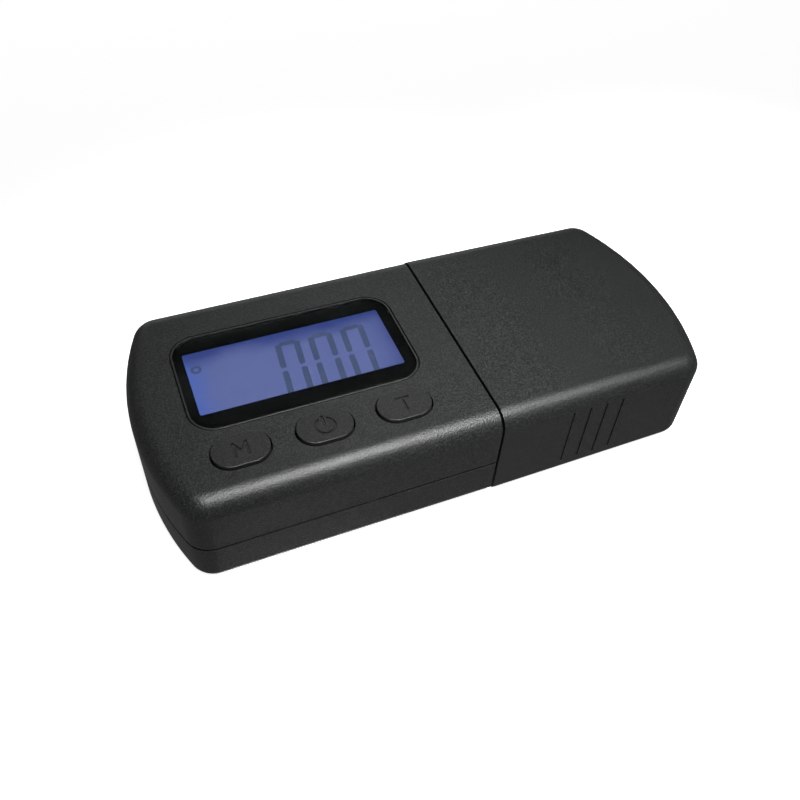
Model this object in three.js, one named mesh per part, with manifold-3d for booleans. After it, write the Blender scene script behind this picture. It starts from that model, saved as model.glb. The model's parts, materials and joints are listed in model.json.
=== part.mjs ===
// A pocket stylus force gauge: a slim battery scale with a backlit display, three keys and a small
// metal weighing arm, which a pull-off end cover protects. +X runs along the body towards the cover,
// +Z is up, and the origin is on the table under the middle of the gauge. Millimetres.
import * as THREE from "three";
import { mergeVertices } from "three/addons/utils/BufferGeometryUtils.js";
import Module from "manifold-3d";

const wasm = await Module();
wasm.setup();

// ---- Outer shape ----
const halfLength = 51.2;
const coverHalfWidth = 22.5; // the cover stands a little proud of the body at the seam
const bodyHalfWidth = 22.4;
const endRadius = 51.4; // both ends bow outwards
const cornerRadius = 4.5;
const wall = 1.6;
const fit = 0.3; // clearance between pieces that slide on each other
const touch = 0.05; // clearance between pieces that rest on each other
const bite = 0.2; // how far shapes that become one piece reach into each other

// The cover narrows and slopes a little towards its closed end, so that it leaves its mould.
const coverDraft = { side: 0.2, top: 0.5, bottom: 0.1 };

const grip = { count: 4, firstX: 19.6, pitch: 3.35, width: 0.5, depth: 0.35, z0: 3.2, z1: 16.6 };
const seamX = 5.8;
const seamGap = 0.4;
const bodyEndX = seamX - seamGap / 2;
const coverStartX = seamX + seamGap / 2;

const footHeight = 0.6; // how far the feet lift the case off the table
const caseBottom = footHeight;
const caseTop = 20;
const coverBottom = 0.4;
const coverTop = 20.15;
const partingZ = 8.8;
const partingGap = 0.3;
const lip = { outer: 0.9, top: 9.6, gap: 0.3 }; // the lower shell's lip stands inside the upper shell
const topFillet = 3.4;
const bottomFillet = 1.6;

const ceilingZ = caseTop - wall;
const floorZ = caseBottom + wall;
const cavityEndX = bodyEndX - wall;

// ---- Spigot and tongue that the cover slides onto ----
const spigotInset = wall + fit;
const spigotWall = 1.3;
const spigotEndX = 9.6;
const tongueEndX = 38;
const tongueFloor = 1.7;
const tongueBottom = coverBottom + spigotInset;
const tongueTop = tongueBottom + tongueFloor;
const tongueRimHeight = 2.4;
const tongueCorner = 4;

// ---- Display ----
const displayX = -22.3;
const lens = { y: 2.8, width: 40.2, depth: 22, radius: 4.6, bottom: 19.05, top: 20.05 };
const lensGap = 0.2;
const glassHole = { y: 3.5, width: 37.4, depth: 16 };
const tape = { bottom: 18.8, top: 19 };
const pocketFloor = 18.75;
const displayFrameBottom = 17.85;
const frameMargin = 0.7;
const lcd = { y: 3.5, width: 38.4, depth: 18.4, bottom: 16.3, top: 17.5 };
const backlight = { bottom: 15.5, top: 16 };
const zebraDepth = 1.4;

// ---- Keys ----
const keyY = -13.5;
const keyPitch = 13.75;
const keyMiddleX = -22.4;
const keyNames = ["mode", "power", "tare"];
const key = { width: 9.4, depth: 6.3, top: 20.5, bottom: 18.05, flangeBottom: 17.5, flange: 0.9 };
const switchBox = { side: 6, bottom: 15.25, top: 16.7, plungerRadius: 1.6, plungerBottom: 16 };
const switchWellFloor = 15.5;

// ---- Circuit board ----
const board = { x0: -46.4, x1: 3.4, halfDepth: 16.2, bottom: 14.4, top: 15.2 };
const boardScrewAt = [
  [-44.4, -14.2],
  [-44.4, 14.2],
  [0.8, -14.2],
  [0.8, 14.2],
];
const boardBossRadius = 1.5;
const boardScrew = { head: 1.4, headHeight: 0.9, shank: 0.7, length: 3.4 };
const chip = { x: keyMiddleX - keyPitch / 2, y: -12.3, radius: 3.5, height: 1.1 };
const crystal = { x: keyMiddleX + keyPitch / 2, y: -12.6, radius: 0.7, length: 5 };
const capacitor = { x: 0.6, y: 4, radius: 1.2, height: 2.6 };

// ---- Case screws and feet ----
const caseScrewAt = [
  [-43.2, -18.4],
  [-43.2, 18.4],
  [2.6, -18.4],
  [2.6, 18.4],
];
const caseBossRadius = 1.9;
const caseScrew = { head: 1.7, headHeight: 1.1, shank: 1, length: 9 };
const caseScrewHole = 1.1;
const counterbore = { radius: 1.9, depth: 2 };
const footAt = [
  [-36.4, -17.2],
  [-36.4, 17.2],
  [-3.8, -17.2],
  [-3.8, 17.2],
];
const foot = { radius: 2.8, pocket: 0.4 };

// ---- Battery bay: two AAA cells side by side, head to tail ----
const cell = { length: 44.5, radius: 5.25, y: 5.6, z: 7.35, nubRadius: 1.9, nubLength: 0.8 };
const bay = { x0: -46.4, x1: 3.6, halfDepth: 11.4, roof: 12.8, roofThick: 0.8, wall: 1.2 };
const contactThick = 0.4;
const contactGap = 0.3;
const contactSize = 7.6;
const springWire = 0.3;
const door = { x0: -45.2, x1: 1.8, halfDepth: 10.6, top: 1.8, gap: 0.3 };
const hook = { width: 1, y: 10, reach: 1.5, thick: 0.8 };
const latch = { halfWidth: 1.6, thick: 1, top: 3.4, nose: 0.35 };

// ---- Load cell and weighing arm ----
const beam = { x0: 11, x1: 36, halfWidth: 4, bottom: 5, top: 10 };
const beamFixedX = [13, 16.4];
const beamFreeX = [31.4, 34.4];
const beamHoleX = [21.2, 26.2];
const beamHoleRadius = 1.7;
const beamScrewHole = 1.2;
const stopRadius = 1.2;
const cellScrew = { head: 1.6, headHeight: 0.9, shank: 0.9, length: 6, sunk: 1 };
const armScrew = { head: 1.4, headHeight: 0.8, shank: 0.9, length: 5 };
const wirePassage = { y0: 9.6, y1: 14, z0: 5.4, z1: 7.2 };
const arm = {
  x0: 29.6,
  stepX: 39.4,
  stepRun: 1.4,
  x1: 47.4,
  targetX: 44.4,
  halfWidth: 6,
  bottom: 10.35,
  tipBottom: 4.8,
  thick: 0.8,
  bend: 1,
};
const sensorClip = { x: 20, halfLength: 1.5 };
const sensorCover = { x0: 9.9, x1: 28.6, halfWidth: 16, bottom: tongueTop + touch, top: 13, wall: 1.2 };

// ---- Solids: three.js shapes, joined and cut by manifold-3d ----
function solidOf(geometry) {
  geometry.deleteAttribute("normal");
  geometry.deleteAttribute("uv");
  const merged = mergeVertices(geometry, 1e-4);
  const vertProperties = merged.attributes.position.array;
  const triVerts = new Uint32Array(merged.index.array);
  return new wasm.Manifold(new wasm.Mesh({ numProp: 3, vertProperties, triVerts }));
}

function geometryOf(solid) {
  const mesh = solid.getMesh();
  const geometry = new THREE.BufferGeometry();
  geometry.setAttribute("position", new THREE.BufferAttribute(mesh.vertProperties, 3));
  geometry.setIndex(new THREE.BufferAttribute(mesh.triVerts, 1));
  geometry.computeVertexNormals();
  return geometry;
}

function box(x0, x1, y0, y1, z0, z1) {
  const geometry = new THREE.BoxGeometry(x1 - x0, y1 - y0, z1 - z0);
  return solidOf(geometry.translate((x0 + x1) / 2, (y0 + y1) / 2, (z0 + z1) / 2));
}

function post(x, y, z0, z1, radius, sides = 20) {
  const geometry = new THREE.CylinderGeometry(radius, radius, z1 - z0, sides);
  return solidOf(geometry.rotateX(Math.PI / 2).translate(x, y, (z0 + z1) / 2));
}

function crossHole(x, z, radius, halfWidth) {
  const geometry = new THREE.CylinderGeometry(radius, radius, 2 * halfWidth, 20);
  return solidOf(geometry.translate(x, 0, z));
}

// A flat plate of a shape drawn in X and Y.
function plate(shape, z0, z1, curveSegments = 4) {
  const geometry = new THREE.ExtrudeGeometry(shape, { depth: z1 - z0, bevelEnabled: false, curveSegments });
  return solidOf(geometry.translate(0, 0, z0));
}

// The same plate with its top and bottom edges rounded.
function slab(shape, z0, z1, radius, bevelSegments) {
  const geometry = new THREE.ExtrudeGeometry(shape, {
    depth: z1 - z0 - 2 * radius,
    bevelThickness: radius,
    bevelSize: radius,
    bevelOffset: -radius,
    bevelSegments,
    curveSegments: 4,
  });
  return solidOf(geometry.translate(0, 0, z0 + radius));
}

function roundedRectangle(x, y, width, depth, radius) {
  const shape = new THREE.Shape();
  const right = x + width / 2 - radius;
  const left = x - width / 2 + radius;
  const back = y + depth / 2 - radius;
  const front = y - depth / 2 + radius;
  shape.absarc(right, back, radius, 0, Math.PI / 2, false);
  shape.absarc(left, back, radius, Math.PI / 2, Math.PI, false);
  shape.absarc(left, front, radius, Math.PI, 1.5 * Math.PI, false);
  shape.absarc(right, front, radius, 1.5 * Math.PI, 2 * Math.PI, false);
  return shape;
}

// The gauge from above: straight sides, bowed ends, rounded corners, all taken in by inset.
function planOutline(halfWidth, inset) {
  const side = halfWidth - inset;
  const bow = endRadius - inset;
  const corner = cornerRadius - inset;
  const bowX = halfLength - endRadius;
  const cornerY = side - corner;
  const cornerX = bowX + Math.sqrt((bow - corner) ** 2 - cornerY ** 2);
  const turn = Math.asin(cornerY / (bow - corner));
  const shape = new THREE.Shape();
  shape.absarc(bowX, 0, bow, -turn, turn, false);
  shape.absarc(cornerX, cornerY, corner, turn, Math.PI / 2, false);
  shape.absarc(-cornerX, cornerY, corner, Math.PI / 2, Math.PI - turn, false);
  shape.absarc(-bowX, 0, bow, Math.PI - turn, Math.PI + turn, false);
  shape.absarc(-cornerX, -cornerY, corner, Math.PI + turn, 1.5 * Math.PI, false);
  shape.absarc(cornerX, -cornerY, corner, 1.5 * Math.PI, 2 * Math.PI - turn, false);
  return shape;
}

const centredBox = (piece, grow, z0, z1) =>
  box(
    displayX - piece.width / 2 - grow,
    displayX + piece.width / 2 + grow,
    piece.y - piece.depth / 2 - grow,
    piece.y + piece.depth / 2 + grow,
    z0,
    z1,
  );

const far = 60;
const leftOf = (x) => box(-far, x, -far, far, -far, far);
const rightOf = (x) => box(x, far, -far, far, -far, far);
const above = (z) => box(-far, far, -far, far, z, far);
const below = (z) => box(-far, far, -far, far, -far, z);

// The whole outer form between two heights: a big radius along the top, a small one below.
function roundedForm(halfWidth, inset, bottom, top) {
  const outline = planOutline(halfWidth, inset);
  const upper = slab(outline, bottom, top, topFillet - inset, 3).intersect(above(partingZ));
  const lowerRadius = Math.max(bottomFillet - inset, 0.3);
  const lower = slab(outline, bottom, top, lowerRadius, 2).intersect(below(partingZ));
  return upper.add(lower);
}

const bodyForm = roundedForm(bodyHalfWidth, 0, caseBottom, caseTop).intersect(leftOf(bodyEndX));
const bodyHollow = roundedForm(bodyHalfWidth, wall, floorZ, ceilingZ).intersect(leftOf(cavityEndX));
const spigotForm = roundedForm(coverHalfWidth, spigotInset, tongueBottom, coverTop - spigotInset)
  .intersect(leftOf(spigotEndX))
  .intersect(rightOf(bodyEndX - 0.5));
const spigotHollow = box(
  cavityEndX - 0.1,
  spigotEndX - spigotWall,
  -(coverHalfWidth - spigotInset - spigotWall),
  coverHalfWidth - spigotInset - spigotWall,
  tongueBottom + spigotWall,
  coverTop - spigotInset - spigotWall,
);
const caseForm = bodyForm.add(spigotForm);
const caseHollow = bodyHollow.add(spigotHollow);

const keyX = keyNames.map((_, i) => keyMiddleX + (i - 1) * keyPitch);
const keyOutline = (x, y, grow) =>
  roundedRectangle(x, y, key.width + 2 * grow, key.depth + 2 * grow, key.depth / 2 + grow);

const lensOutline = (grow) =>
  roundedRectangle(displayX, lens.y, lens.width + 2 * grow, lens.depth + 2 * grow, lens.radius + grow);
const windowOutline = (grow) =>
  roundedRectangle(displayX, glassHole.y, glassHole.width + 2 * grow, glassHole.depth + 2 * grow, 1);

const lipPlate = (inset, z0, z1) =>
  plate(planOutline(bodyHalfWidth, inset), z0, z1).intersect(leftOf(cavityEndX));

function upperCase() {
  let shell = caseForm.intersect(above(partingZ + partingGap / 2)).subtract(caseHollow);
  shell = shell.subtract(lipPlate(lip.outer - lip.gap, partingZ, lip.top + lip.gap));
  // A flat frame under the top takes the lens pocket.
  shell = shell.add(centredBox(lens, frameMargin, displayFrameBottom, ceilingZ + bite));
  shell = shell.subtract(plate(lensOutline(lensGap), pocketFloor, caseTop + 1));
  shell = shell.subtract(plate(windowOutline(0), displayFrameBottom - 1, caseTop));
  for (const x of keyX) {
    shell = shell.subtract(plate(keyOutline(x, keyY, fit), ceilingZ - 1, caseTop + 1));
  }
  for (const [x, y] of boardScrewAt) {
    shell = shell.add(post(x, y, board.top + fit, ceilingZ + bite, boardBossRadius, 14));
    shell = shell.subtract(post(x, y, board.top, ceilingZ - 0.5, boardScrew.shank + bite, 10));
  }
  for (const [x, y] of caseScrewAt) {
    shell = shell.add(post(x, y, partingZ + partingGap / 2, ceilingZ + bite, caseBossRadius, 16));
    shell = shell.subtract(post(x, y, partingZ, partingZ + 7, caseScrewHole, 10));
  }
  return shell;
}

function doorOpening() {
  const { x0, x1, halfDepth, gap } = door;
  return box(x0 - gap, x1 + gap, -halfDepth - gap, halfDepth + gap, -1, floorZ + 0.1);
}

function lowerCase() {
  let shell = caseForm.intersect(below(partingZ - partingGap / 2)).subtract(caseHollow);
  const rim = lipPlate(lip.outer, partingZ - 1, lip.top);
  shell = shell.add(rim.subtract(plate(planOutline(bodyHalfWidth, wall), 0, far)));
  // The tongue under the weighing arm, with a low rim.
  const tongueHalfWidth = coverHalfWidth - spigotInset;
  const tongueOutline = (inset) =>
    roundedRectangle(
      (spigotEndX - 2 * tongueCorner + tongueEndX) / 2,
      0,
      tongueEndX - spigotEndX + 2 * tongueCorner - 2 * inset,
      2 * (tongueHalfWidth - inset),
      tongueCorner - inset,
    );
  const tongue = plate(tongueOutline(0), tongueBottom, tongueTop + tongueRimHeight, 3)
    .subtract(plate(tongueOutline(spigotWall), tongueTop, far, 3))
    .intersect(rightOf(spigotEndX - spigotWall + bite));
  shell = shell.add(tongue);
  // The battery bay: walls and a roof over the cells.
  const outer = box(
    bay.x0 - bay.wall,
    bay.x1 + bay.wall,
    -bay.halfDepth - bay.wall,
    bay.halfDepth + bay.wall,
    floorZ - bite,
    bay.roof + bay.roofThick,
  );
  shell = shell.add(outer.subtract(spigotHollow.intersect(rightOf(bay.x1 + bay.wall))));
  shell = shell.subtract(box(bay.x0, bay.x1, -bay.halfDepth, bay.halfDepth, floorZ, bay.roof));
  // Slots in the roof for the contacts' solder tabs.
  const slotWidth = contactThick + 2 * contactGap + bite;
  for (const x of [bay.x0, bay.x1 - slotWidth]) {
    shell = shell.subtract(box(x, x + slotWidth, -bay.halfDepth, bay.halfDepth, bay.roof - 1, bay.roof + 2));
  }
  shell = shell.subtract(doorOpening());
  const notch = { x: door.x0 - 0.4, radius: 3.2, depth: 0.7 }; // for a fingertip, at the latch
  shell = shell.subtract(post(notch.x, 0, -1, caseBottom + notch.depth, notch.radius, 24));
  for (const [x, y] of caseScrewAt) {
    const boss = post(x, y, floorZ - bite, partingZ - partingGap / 2, counterbore.radius + 0.8, 16);
    shell = shell.add(boss.intersect(caseForm));
    shell = shell.subtract(post(x, y, -1, caseBottom + counterbore.depth, counterbore.radius, 16));
    shell = shell.subtract(post(x, y, 0, partingZ + 1, caseScrewHole, 10));
  }
  for (const [x, y] of footAt) {
    shell = shell.subtract(post(x, y, -1, caseBottom + foot.pocket, foot.radius + 0.15, 24));
  }
  // Holes for the load cell's screws, the overload stop and the sensor wires.
  for (const x of beamFixedX) {
    shell = shell.subtract(post(x, 0, 0, tongueBottom + cellScrew.sunk, cellScrew.head + bite, 16));
    shell = shell.subtract(post(x, 0, 0, tongueTop + 1, beamScrewHole, 12));
  }
  shell = shell.subtract(post(beamFreeX[0], 0, 0, tongueTop + 1, stopRadius + bite, 14));
  const { y0, y1, z0, z1 } = wirePassage;
  shell = shell.subtract(box(spigotEndX - 2, spigotEndX + 1, y0, y1, z0, z1));
  // Slots that the sensor cover clips into.
  const slotHalfLength = sensorClip.halfLength + fit;
  const slotHalfWidth = sensorCover.wall / 2 + fit;
  for (const side of [-1, 1]) {
    const x = sensorClip.x;
    const y = side * (sensorCover.halfWidth - sensorCover.wall / 2);
    const slot = box(-slotHalfLength, slotHalfLength, -slotHalfWidth, slotHalfWidth, 0, tongueTop + 1);
    shell = shell.subtract(slot.translate([x, y, 0]));
  }
  return shell;
}

function slidingCover() {
  const outer = roundedForm(coverHalfWidth, 0, coverBottom, coverTop).intersect(rightOf(coverStartX));
  const hollow = roundedForm(coverHalfWidth, wall, coverBottom + wall, coverTop - wall);
  let shell = outer.subtract(hollow);
  // Four grip grooves on each side.
  const { firstX, pitch, width, depth, z0, z1 } = grip;
  for (let i = 0; i < grip.count; i += 1) {
    const x = firstX + i * pitch - width / 2;
    for (const side of [-1, 1]) {
      const y = side * coverHalfWidth;
      shell = shell.subtract(box(x, x + width, y - depth, y + depth, z0, z1));
    }
  }
  return drafted(shell);
}

// Takes in the sides, top and bottom in proportion to the distance from the cover's mouth.
function drafted(solid) {
  const mesh = solid.getMesh();
  const points = mesh.vertProperties;
  for (let i = 0; i < points.length; i += 3) {
    const along = (points[i] - coverStartX) / (halfLength - coverStartX);
    const height = (points[i + 2] - coverBottom) / (coverTop - coverBottom);
    points[i + 1] *= 1 - (coverDraft.side / coverHalfWidth) * along;
    points[i + 2] += along * ((1 - height) * coverDraft.bottom - height * coverDraft.top);
  }
  return new wasm.Manifold(new wasm.Mesh({ numProp: 3, vertProperties: points, triVerts: mesh.triVerts }));
}

function sensorCoverShell() {
  const { x0, x1, halfWidth, bottom, top } = sensorCover;
  const inner = sensorCover.wall;
  const outline = roundedRectangle((x0 + x1) / 2, 0, x1 - x0, 2 * halfWidth, 2.5);
  const outer = slab(outline, bottom - 3, top, 1.8, 2).intersect(above(bottom));
  const hollow = box(x0 - 1, x1 - inner, -halfWidth + inner, halfWidth - inner, -1, top - inner);
  const beamMouth = box(x1 - 5, x1 + 1, -beam.halfWidth - 0.8, beam.halfWidth + 0.8, -1, beam.top + 1);
  let shell = outer.subtract(hollow).subtract(beamMouth);
  const { x, halfLength: half } = sensorClip;
  for (const side of [-1, 1]) {
    const y = side * (halfWidth - inner / 2);
    shell = shell.add(box(x - half, x + half, y - inner / 2, y + inner / 2, tongueBottom + fit, bottom + 1));
  }
  return shell;
}

// ---- Display pieces ----
const displayLens = () => plate(lensOutline(0), lens.bottom, lens.top);

function lensTape() {
  const outer = lensOutline(-lensGap);
  const inner = windowOutline(lensGap);
  return plate(outer, tape.bottom, tape.top).subtract(plate(inner, 0, far));
}

const lcdPanel = () => centredBox(lcd, 0, lcd.bottom, lcd.top);
const lcdFrame = () =>
  centredBox(lcd, 1.2, board.top + touch, lcd.top - 0.1).subtract(centredBox(lcd, 0.2, 0, far));
const lcdFront = lcd.y - lcd.depth / 2;
const zebraStrip = () => {
  const y = lcdFront + 0.2;
  return box(displayX - 18, displayX + 18, y, y + zebraDepth, backlight.bottom, backlight.top);
};
const backlightPanel = () =>
  box(
    displayX - lcd.width / 2 + 1.8,
    displayX + lcd.width / 2 - 0.2,
    lcdFront + 0.6 + zebraDepth,
    lcdFront + lcd.depth - 0.2,
    backlight.bottom,
    backlight.top,
  );
const backlightLed = () => box(displayX - 19, displayX - 17.7, 2, 6, backlight.bottom - touch, backlight.top);

// ---- Keys and switches, made round their own centres ----
function keyCap() {
  const cap = slab(keyOutline(0, 0, 0), key.bottom - 1, key.top, 0.3, 1).intersect(above(key.bottom - 0.1));
  return cap.add(plate(keyOutline(0, 0, key.flange), key.flangeBottom, key.bottom));
}

function switchBody() {
  const half = switchBox.side / 2;
  const well = post(0, 0, switchWellFloor, far, switchBox.plungerRadius + 0.2, 18);
  return box(-half, half, -half, half, switchBox.bottom, switchBox.top).subtract(well);
}

const switchPlunger = () =>
  post(0, 0, switchBox.plungerBottom, key.flangeBottom - 0.1, switchBox.plungerRadius, 18);

// ---- Circuit board and what sits on it ----
function mainBoard() {
  let sheet = box(board.x0, board.x1, -board.halfDepth, board.halfDepth, board.bottom, board.top);
  for (const [x, y] of boardScrewAt) {
    sheet = sheet.subtract(post(x, y, 0, far, 1, 12));
  }
  return sheet;
}

// The chip under its cap of black resin.
function chipBlob() {
  const profile = new THREE.EllipseCurve(0, 0, chip.radius, chip.height, 0, Math.PI / 2).getPoints(4);
  const geometry = new THREE.LatheGeometry([new THREE.Vector2(0, 0), ...profile], 20);
  return solidOf(geometry.rotateX(Math.PI / 2));
}

const crystalCan = () =>
  solidOf(new THREE.CylinderGeometry(crystal.radius, crystal.radius, crystal.length, 14));
const capacitorCan = () => post(0, 0, 0, capacitor.height, capacitor.radius, 16);

// ---- Fasteners: a cross-recess pan head at the origin, pointing up the Z axis from its head ----
function panScrew({ head, headHeight, shank, length }) {
  const dome = new THREE.QuadraticBezierCurve(
    new THREE.Vector2(0, -headHeight),
    new THREE.Vector2(head, -headHeight),
    new THREE.Vector2(head, 0),
  ).getPoints(2);
  const profile = [
    ...dome,
    new THREE.Vector2(shank, 0),
    new THREE.Vector2(shank, length - shank),
    new THREE.Vector2(0, length),
  ];
  const screw = solidOf(new THREE.LatheGeometry(profile, 10).rotateX(Math.PI / 2));
  const reach = head * 0.55;
  const slot = head * 0.13;
  const recess = -headHeight * 0.45;
  const cross = box(-reach, reach, -slot, slot, -far, recess)
    .add(box(-slot, slot, -reach, reach, -far, recess));
  return screw.subtract(cross);
}

function stopScrew() {
  const z0 = tongueBottom + bite;
  const z1 = beam.bottom - fit;
  const slot = box(-far, far, -0.2, 0.2, z0 - 1, z0 + 0.5);
  return post(0, 0, z0, z1, stopRadius, 16).subtract(slot);
}

// ---- Cells and contacts ----
// An AAA cell along +X, its flat end at the origin and its nub at the far end.
function aaaCell() {
  const { length, radius, nubRadius, nubLength } = cell;
  const canEnd = length - nubLength;
  const profile = [
    [0, 0],
    [radius - 0.5, 0],
    [radius, 0.5],
    [radius, canEnd - 0.6],
    [radius - 0.6, canEnd],
    [nubRadius, canEnd],
    [nubRadius, length - 0.2],
    [nubRadius - 0.2, length],
    [0, length],
  ].map(([r, along]) => new THREE.Vector2(r, along));
  return solidOf(new THREE.LatheGeometry(profile, 20).rotateZ(-Math.PI / 2));
}

class ConeSpring extends THREE.Curve {
  getPoint(t, target = new THREE.Vector3()) {
    const turns = 3.25;
    const coil = THREE.MathUtils.lerp(3.5, 2.2, t);
    const along = THREE.MathUtils.lerp(0, 3.1, t);
    const angle = 2 * Math.PI * turns * t;
    return target.set(along, coil * Math.cos(angle), coil * Math.sin(angle));
  }
}

// A contact leaf, its back at the origin, with a solder tab above it. The spring points along +X.
function contactLeaf(centres) {
  const half = contactSize / 2;
  let leaf;
  for (const y of centres) {
    const pad = box(0, contactThick, y - half, y + half, -half, half);
    const tab = box(0, contactThick, y - 0.8, y + 0.8, half - 0.1, board.bottom - touch - cell.z);
    leaf = leaf ? leaf.add(pad).add(tab) : pad.add(tab);
  }
  if (centres.length > 1) {
    leaf = leaf.add(box(0, contactThick, centres[0], centres[1], -1.5, 1.5));
  }
  return leaf;
}

function springOn(leaf, y) {
  const wire = new THREE.Shape().absarc(0, 0, springWire, 0, 2 * Math.PI, false);
  const coil = new THREE.ExtrudeGeometry(wire, {
    steps: 36,
    curveSegments: 3,
    extrudePath: new ConeSpring(),
  });
  return leaf.add(solidOf(coil.translate(contactThick + springWire / 2, y, 0)));
}

function bumpOn(leaf, y) {
  const profile = new THREE.EllipseCurve(0, 0, 2.2, 0.25, 0, Math.PI / 2).getPoints(3);
  const points = [new THREE.Vector2(0, -0.2), new THREE.Vector2(2.2, -0.2), ...profile];
  const bump = new THREE.LatheGeometry(points, 16).rotateZ(-Math.PI / 2);
  return leaf.add(solidOf(bump.translate(contactThick, y, 0)));
}

// ---- Battery door: its hooks pass over the bay's edge at the cover end ----
function batteryDoor() {
  const { x0, x1, halfDepth, top } = door;
  let lid = box(x0, x1, -halfDepth, halfDepth, caseBottom, top);
  const clawBottom = floorZ + fit;
  const clawTop = clawBottom + hook.thick;
  for (const side of [-1, 1]) {
    const y0 = side * hook.y - hook.width / 2;
    const y1 = y0 + hook.width;
    lid = lid.add(box(x1 - 1, x1, y0, y1, top - 0.1, clawTop));
    lid = lid.add(box(x1 - 0.5, x1 + hook.reach, y0, y1, clawBottom, clawTop));
  }
  // The latch: a springy finger whose nose rests beside the edge of the bay.
  const fingerX = x0 + 0.2;
  lid = lid.add(box(fingerX, fingerX + latch.thick, -latch.halfWidth, latch.halfWidth, top - 0.1, latch.top));
  const noseX = fingerX - latch.nose;
  lid = lid.add(box(noseX, fingerX + 0.1, -latch.halfWidth, latch.halfWidth, floorZ, floorZ + 0.8));
  // A ribbed patch outside shows where to press.
  const rib = { first: 3, pitch: 1.6, width: 0.6, halfLength: 5, depth: 0.3 };
  for (let i = 0; i < 4; i += 1) {
    const x = x0 + rib.first + i * rib.pitch;
    const groove = box(x, x + rib.width, -rib.halfLength, rib.halfLength, 0, caseBottom + rib.depth);
    lid = lid.subtract(groove);
  }
  return lid;
}

// ---- Load cell, its coating, the arm ----
function loadCell() {
  const { x0, x1, halfWidth, bottom, top } = beam;
  const middle = (bottom + top) / 2;
  let bar = box(x0, x1, -halfWidth, halfWidth, bottom, top);
  for (const x of beamHoleX) {
    bar = bar.subtract(crossHole(x, middle, beamHoleRadius, halfWidth + 1));
  }
  bar = bar.subtract(box(beamHoleX[0], beamHoleX[1], -far, far, middle - 0.5, middle + 0.5));
  for (const x of [...beamFixedX, ...beamFreeX]) {
    bar = bar.subtract(post(x, 0, 0, far, beamScrewHole, 12));
  }
  return bar;
}

function gaugeCoating() {
  const middle = (beamHoleX[0] + beamHoleX[1]) / 2;
  return slab(roundedRectangle(middle, 0, 10, 6.6, 1.5), -0.8, 0.8, 0.5, 1).intersect(above(0));
}

const cellSpacer = () => {
  const { x0, halfWidth, bottom } = beam;
  const sheet = box(x0, beamFixedX[1] + 1.8, -halfWidth, halfWidth, tongueTop + touch, bottom - touch);
  return beamFixedX.reduce((left, x) => left.subtract(post(x, 0, 0, far, beamScrewHole, 12)), sheet);
};

// A strip of sheet steel: flat on the load cell, down a slanting step, flat again at the tip.
function weighingArm() {
  const { x0, x1, stepX, stepRun, halfWidth, bottom, tipBottom, thick, bend } = arm;
  const lean = (stepRun * bend) / (bottom - tipBottom);
  const lowX = stepX + stepRun;
  const outsideX = stepX + thick;
  const insideX = lowX + thick;
  const side = new THREE.Shape();
  side.moveTo(x0, bottom);
  side.lineTo(stepX - bend, bottom);
  side.quadraticCurveTo(stepX, bottom, stepX + lean, bottom - bend);
  side.lineTo(lowX - lean, tipBottom + bend);
  side.quadraticCurveTo(lowX, tipBottom, lowX + bend, tipBottom);
  side.lineTo(x1, tipBottom);
  side.lineTo(x1, tipBottom + thick);
  side.lineTo(insideX + bend / 2, tipBottom + thick);
  side.quadraticCurveTo(insideX, tipBottom + thick, insideX - lean / 2, tipBottom + thick + bend / 2);
  side.lineTo(outsideX + lean / 2, bottom - bend / 2);
  side.quadraticCurveTo(outsideX, bottom + thick, stepX - bend, bottom + thick);
  side.lineTo(x0, bottom + thick);
  const strip = new THREE.ExtrudeGeometry(side, {
    depth: 2 * halfWidth,
    bevelEnabled: false,
    curveSegments: 4,
  });
  let sheet = solidOf(strip.rotateX(Math.PI / 2).translate(0, halfWidth, 0));
  sheet = sheet.intersect(plate(roundedRectangle((x0 + x1) / 2, 0, x1 - x0, 2 * halfWidth, 2.5), 0, far));
  for (const x of beamFreeX) {
    sheet = sheet.subtract(post(x, 0, 0, far, beamScrewHole, 12));
  }
  // The small dimple that the stylus is set down in.
  return sheet.subtract(post(arm.targetX, 0, tipBottom + thick - 0.2, far, 0.5, 12));
}

// ---- Sensor wires, side by side through the bulkhead and up over the edge of the board ----
const wireColours = { red: 0xb5201c, black: 0x161616, white: 0xe2e2dc, green: 0x1f8a3b };
const wireRadius = 0.4;

function sensorWire(index) {
  const y = 10.4 + index * 0.95;
  const startX = 19.4 + index * 1.5;
  const route = new THREE.CatmullRomCurve3([
    new THREE.Vector3(startX, beam.halfWidth - 0.2, beam.top + 0.5),
    new THREE.Vector3(startX - 0.8, 6 + index * 0.5, 9.6),
    new THREE.Vector3(15.6 + index * 0.7, 8.2 + index * 0.8, 7.4),
    new THREE.Vector3(12.6, y, 6.3),
    new THREE.Vector3(9.2, y, 6.3),
    new THREE.Vector3(6.8, y, 7.6),
    new THREE.Vector3(6.1, y, 11.4),
    new THREE.Vector3(5.2, y, 15.4),
    new THREE.Vector3(3.6, y, 16.4),
    new THREE.Vector3(2.7, y, 15.7),
  ]);
  const section = new THREE.Shape().absarc(0, 0, wireRadius, 0, 2 * Math.PI, false);
  return solidOf(new THREE.ExtrudeGeometry(section, { steps: 18, curveSegments: 3, extrudePath: route }));
}

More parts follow.
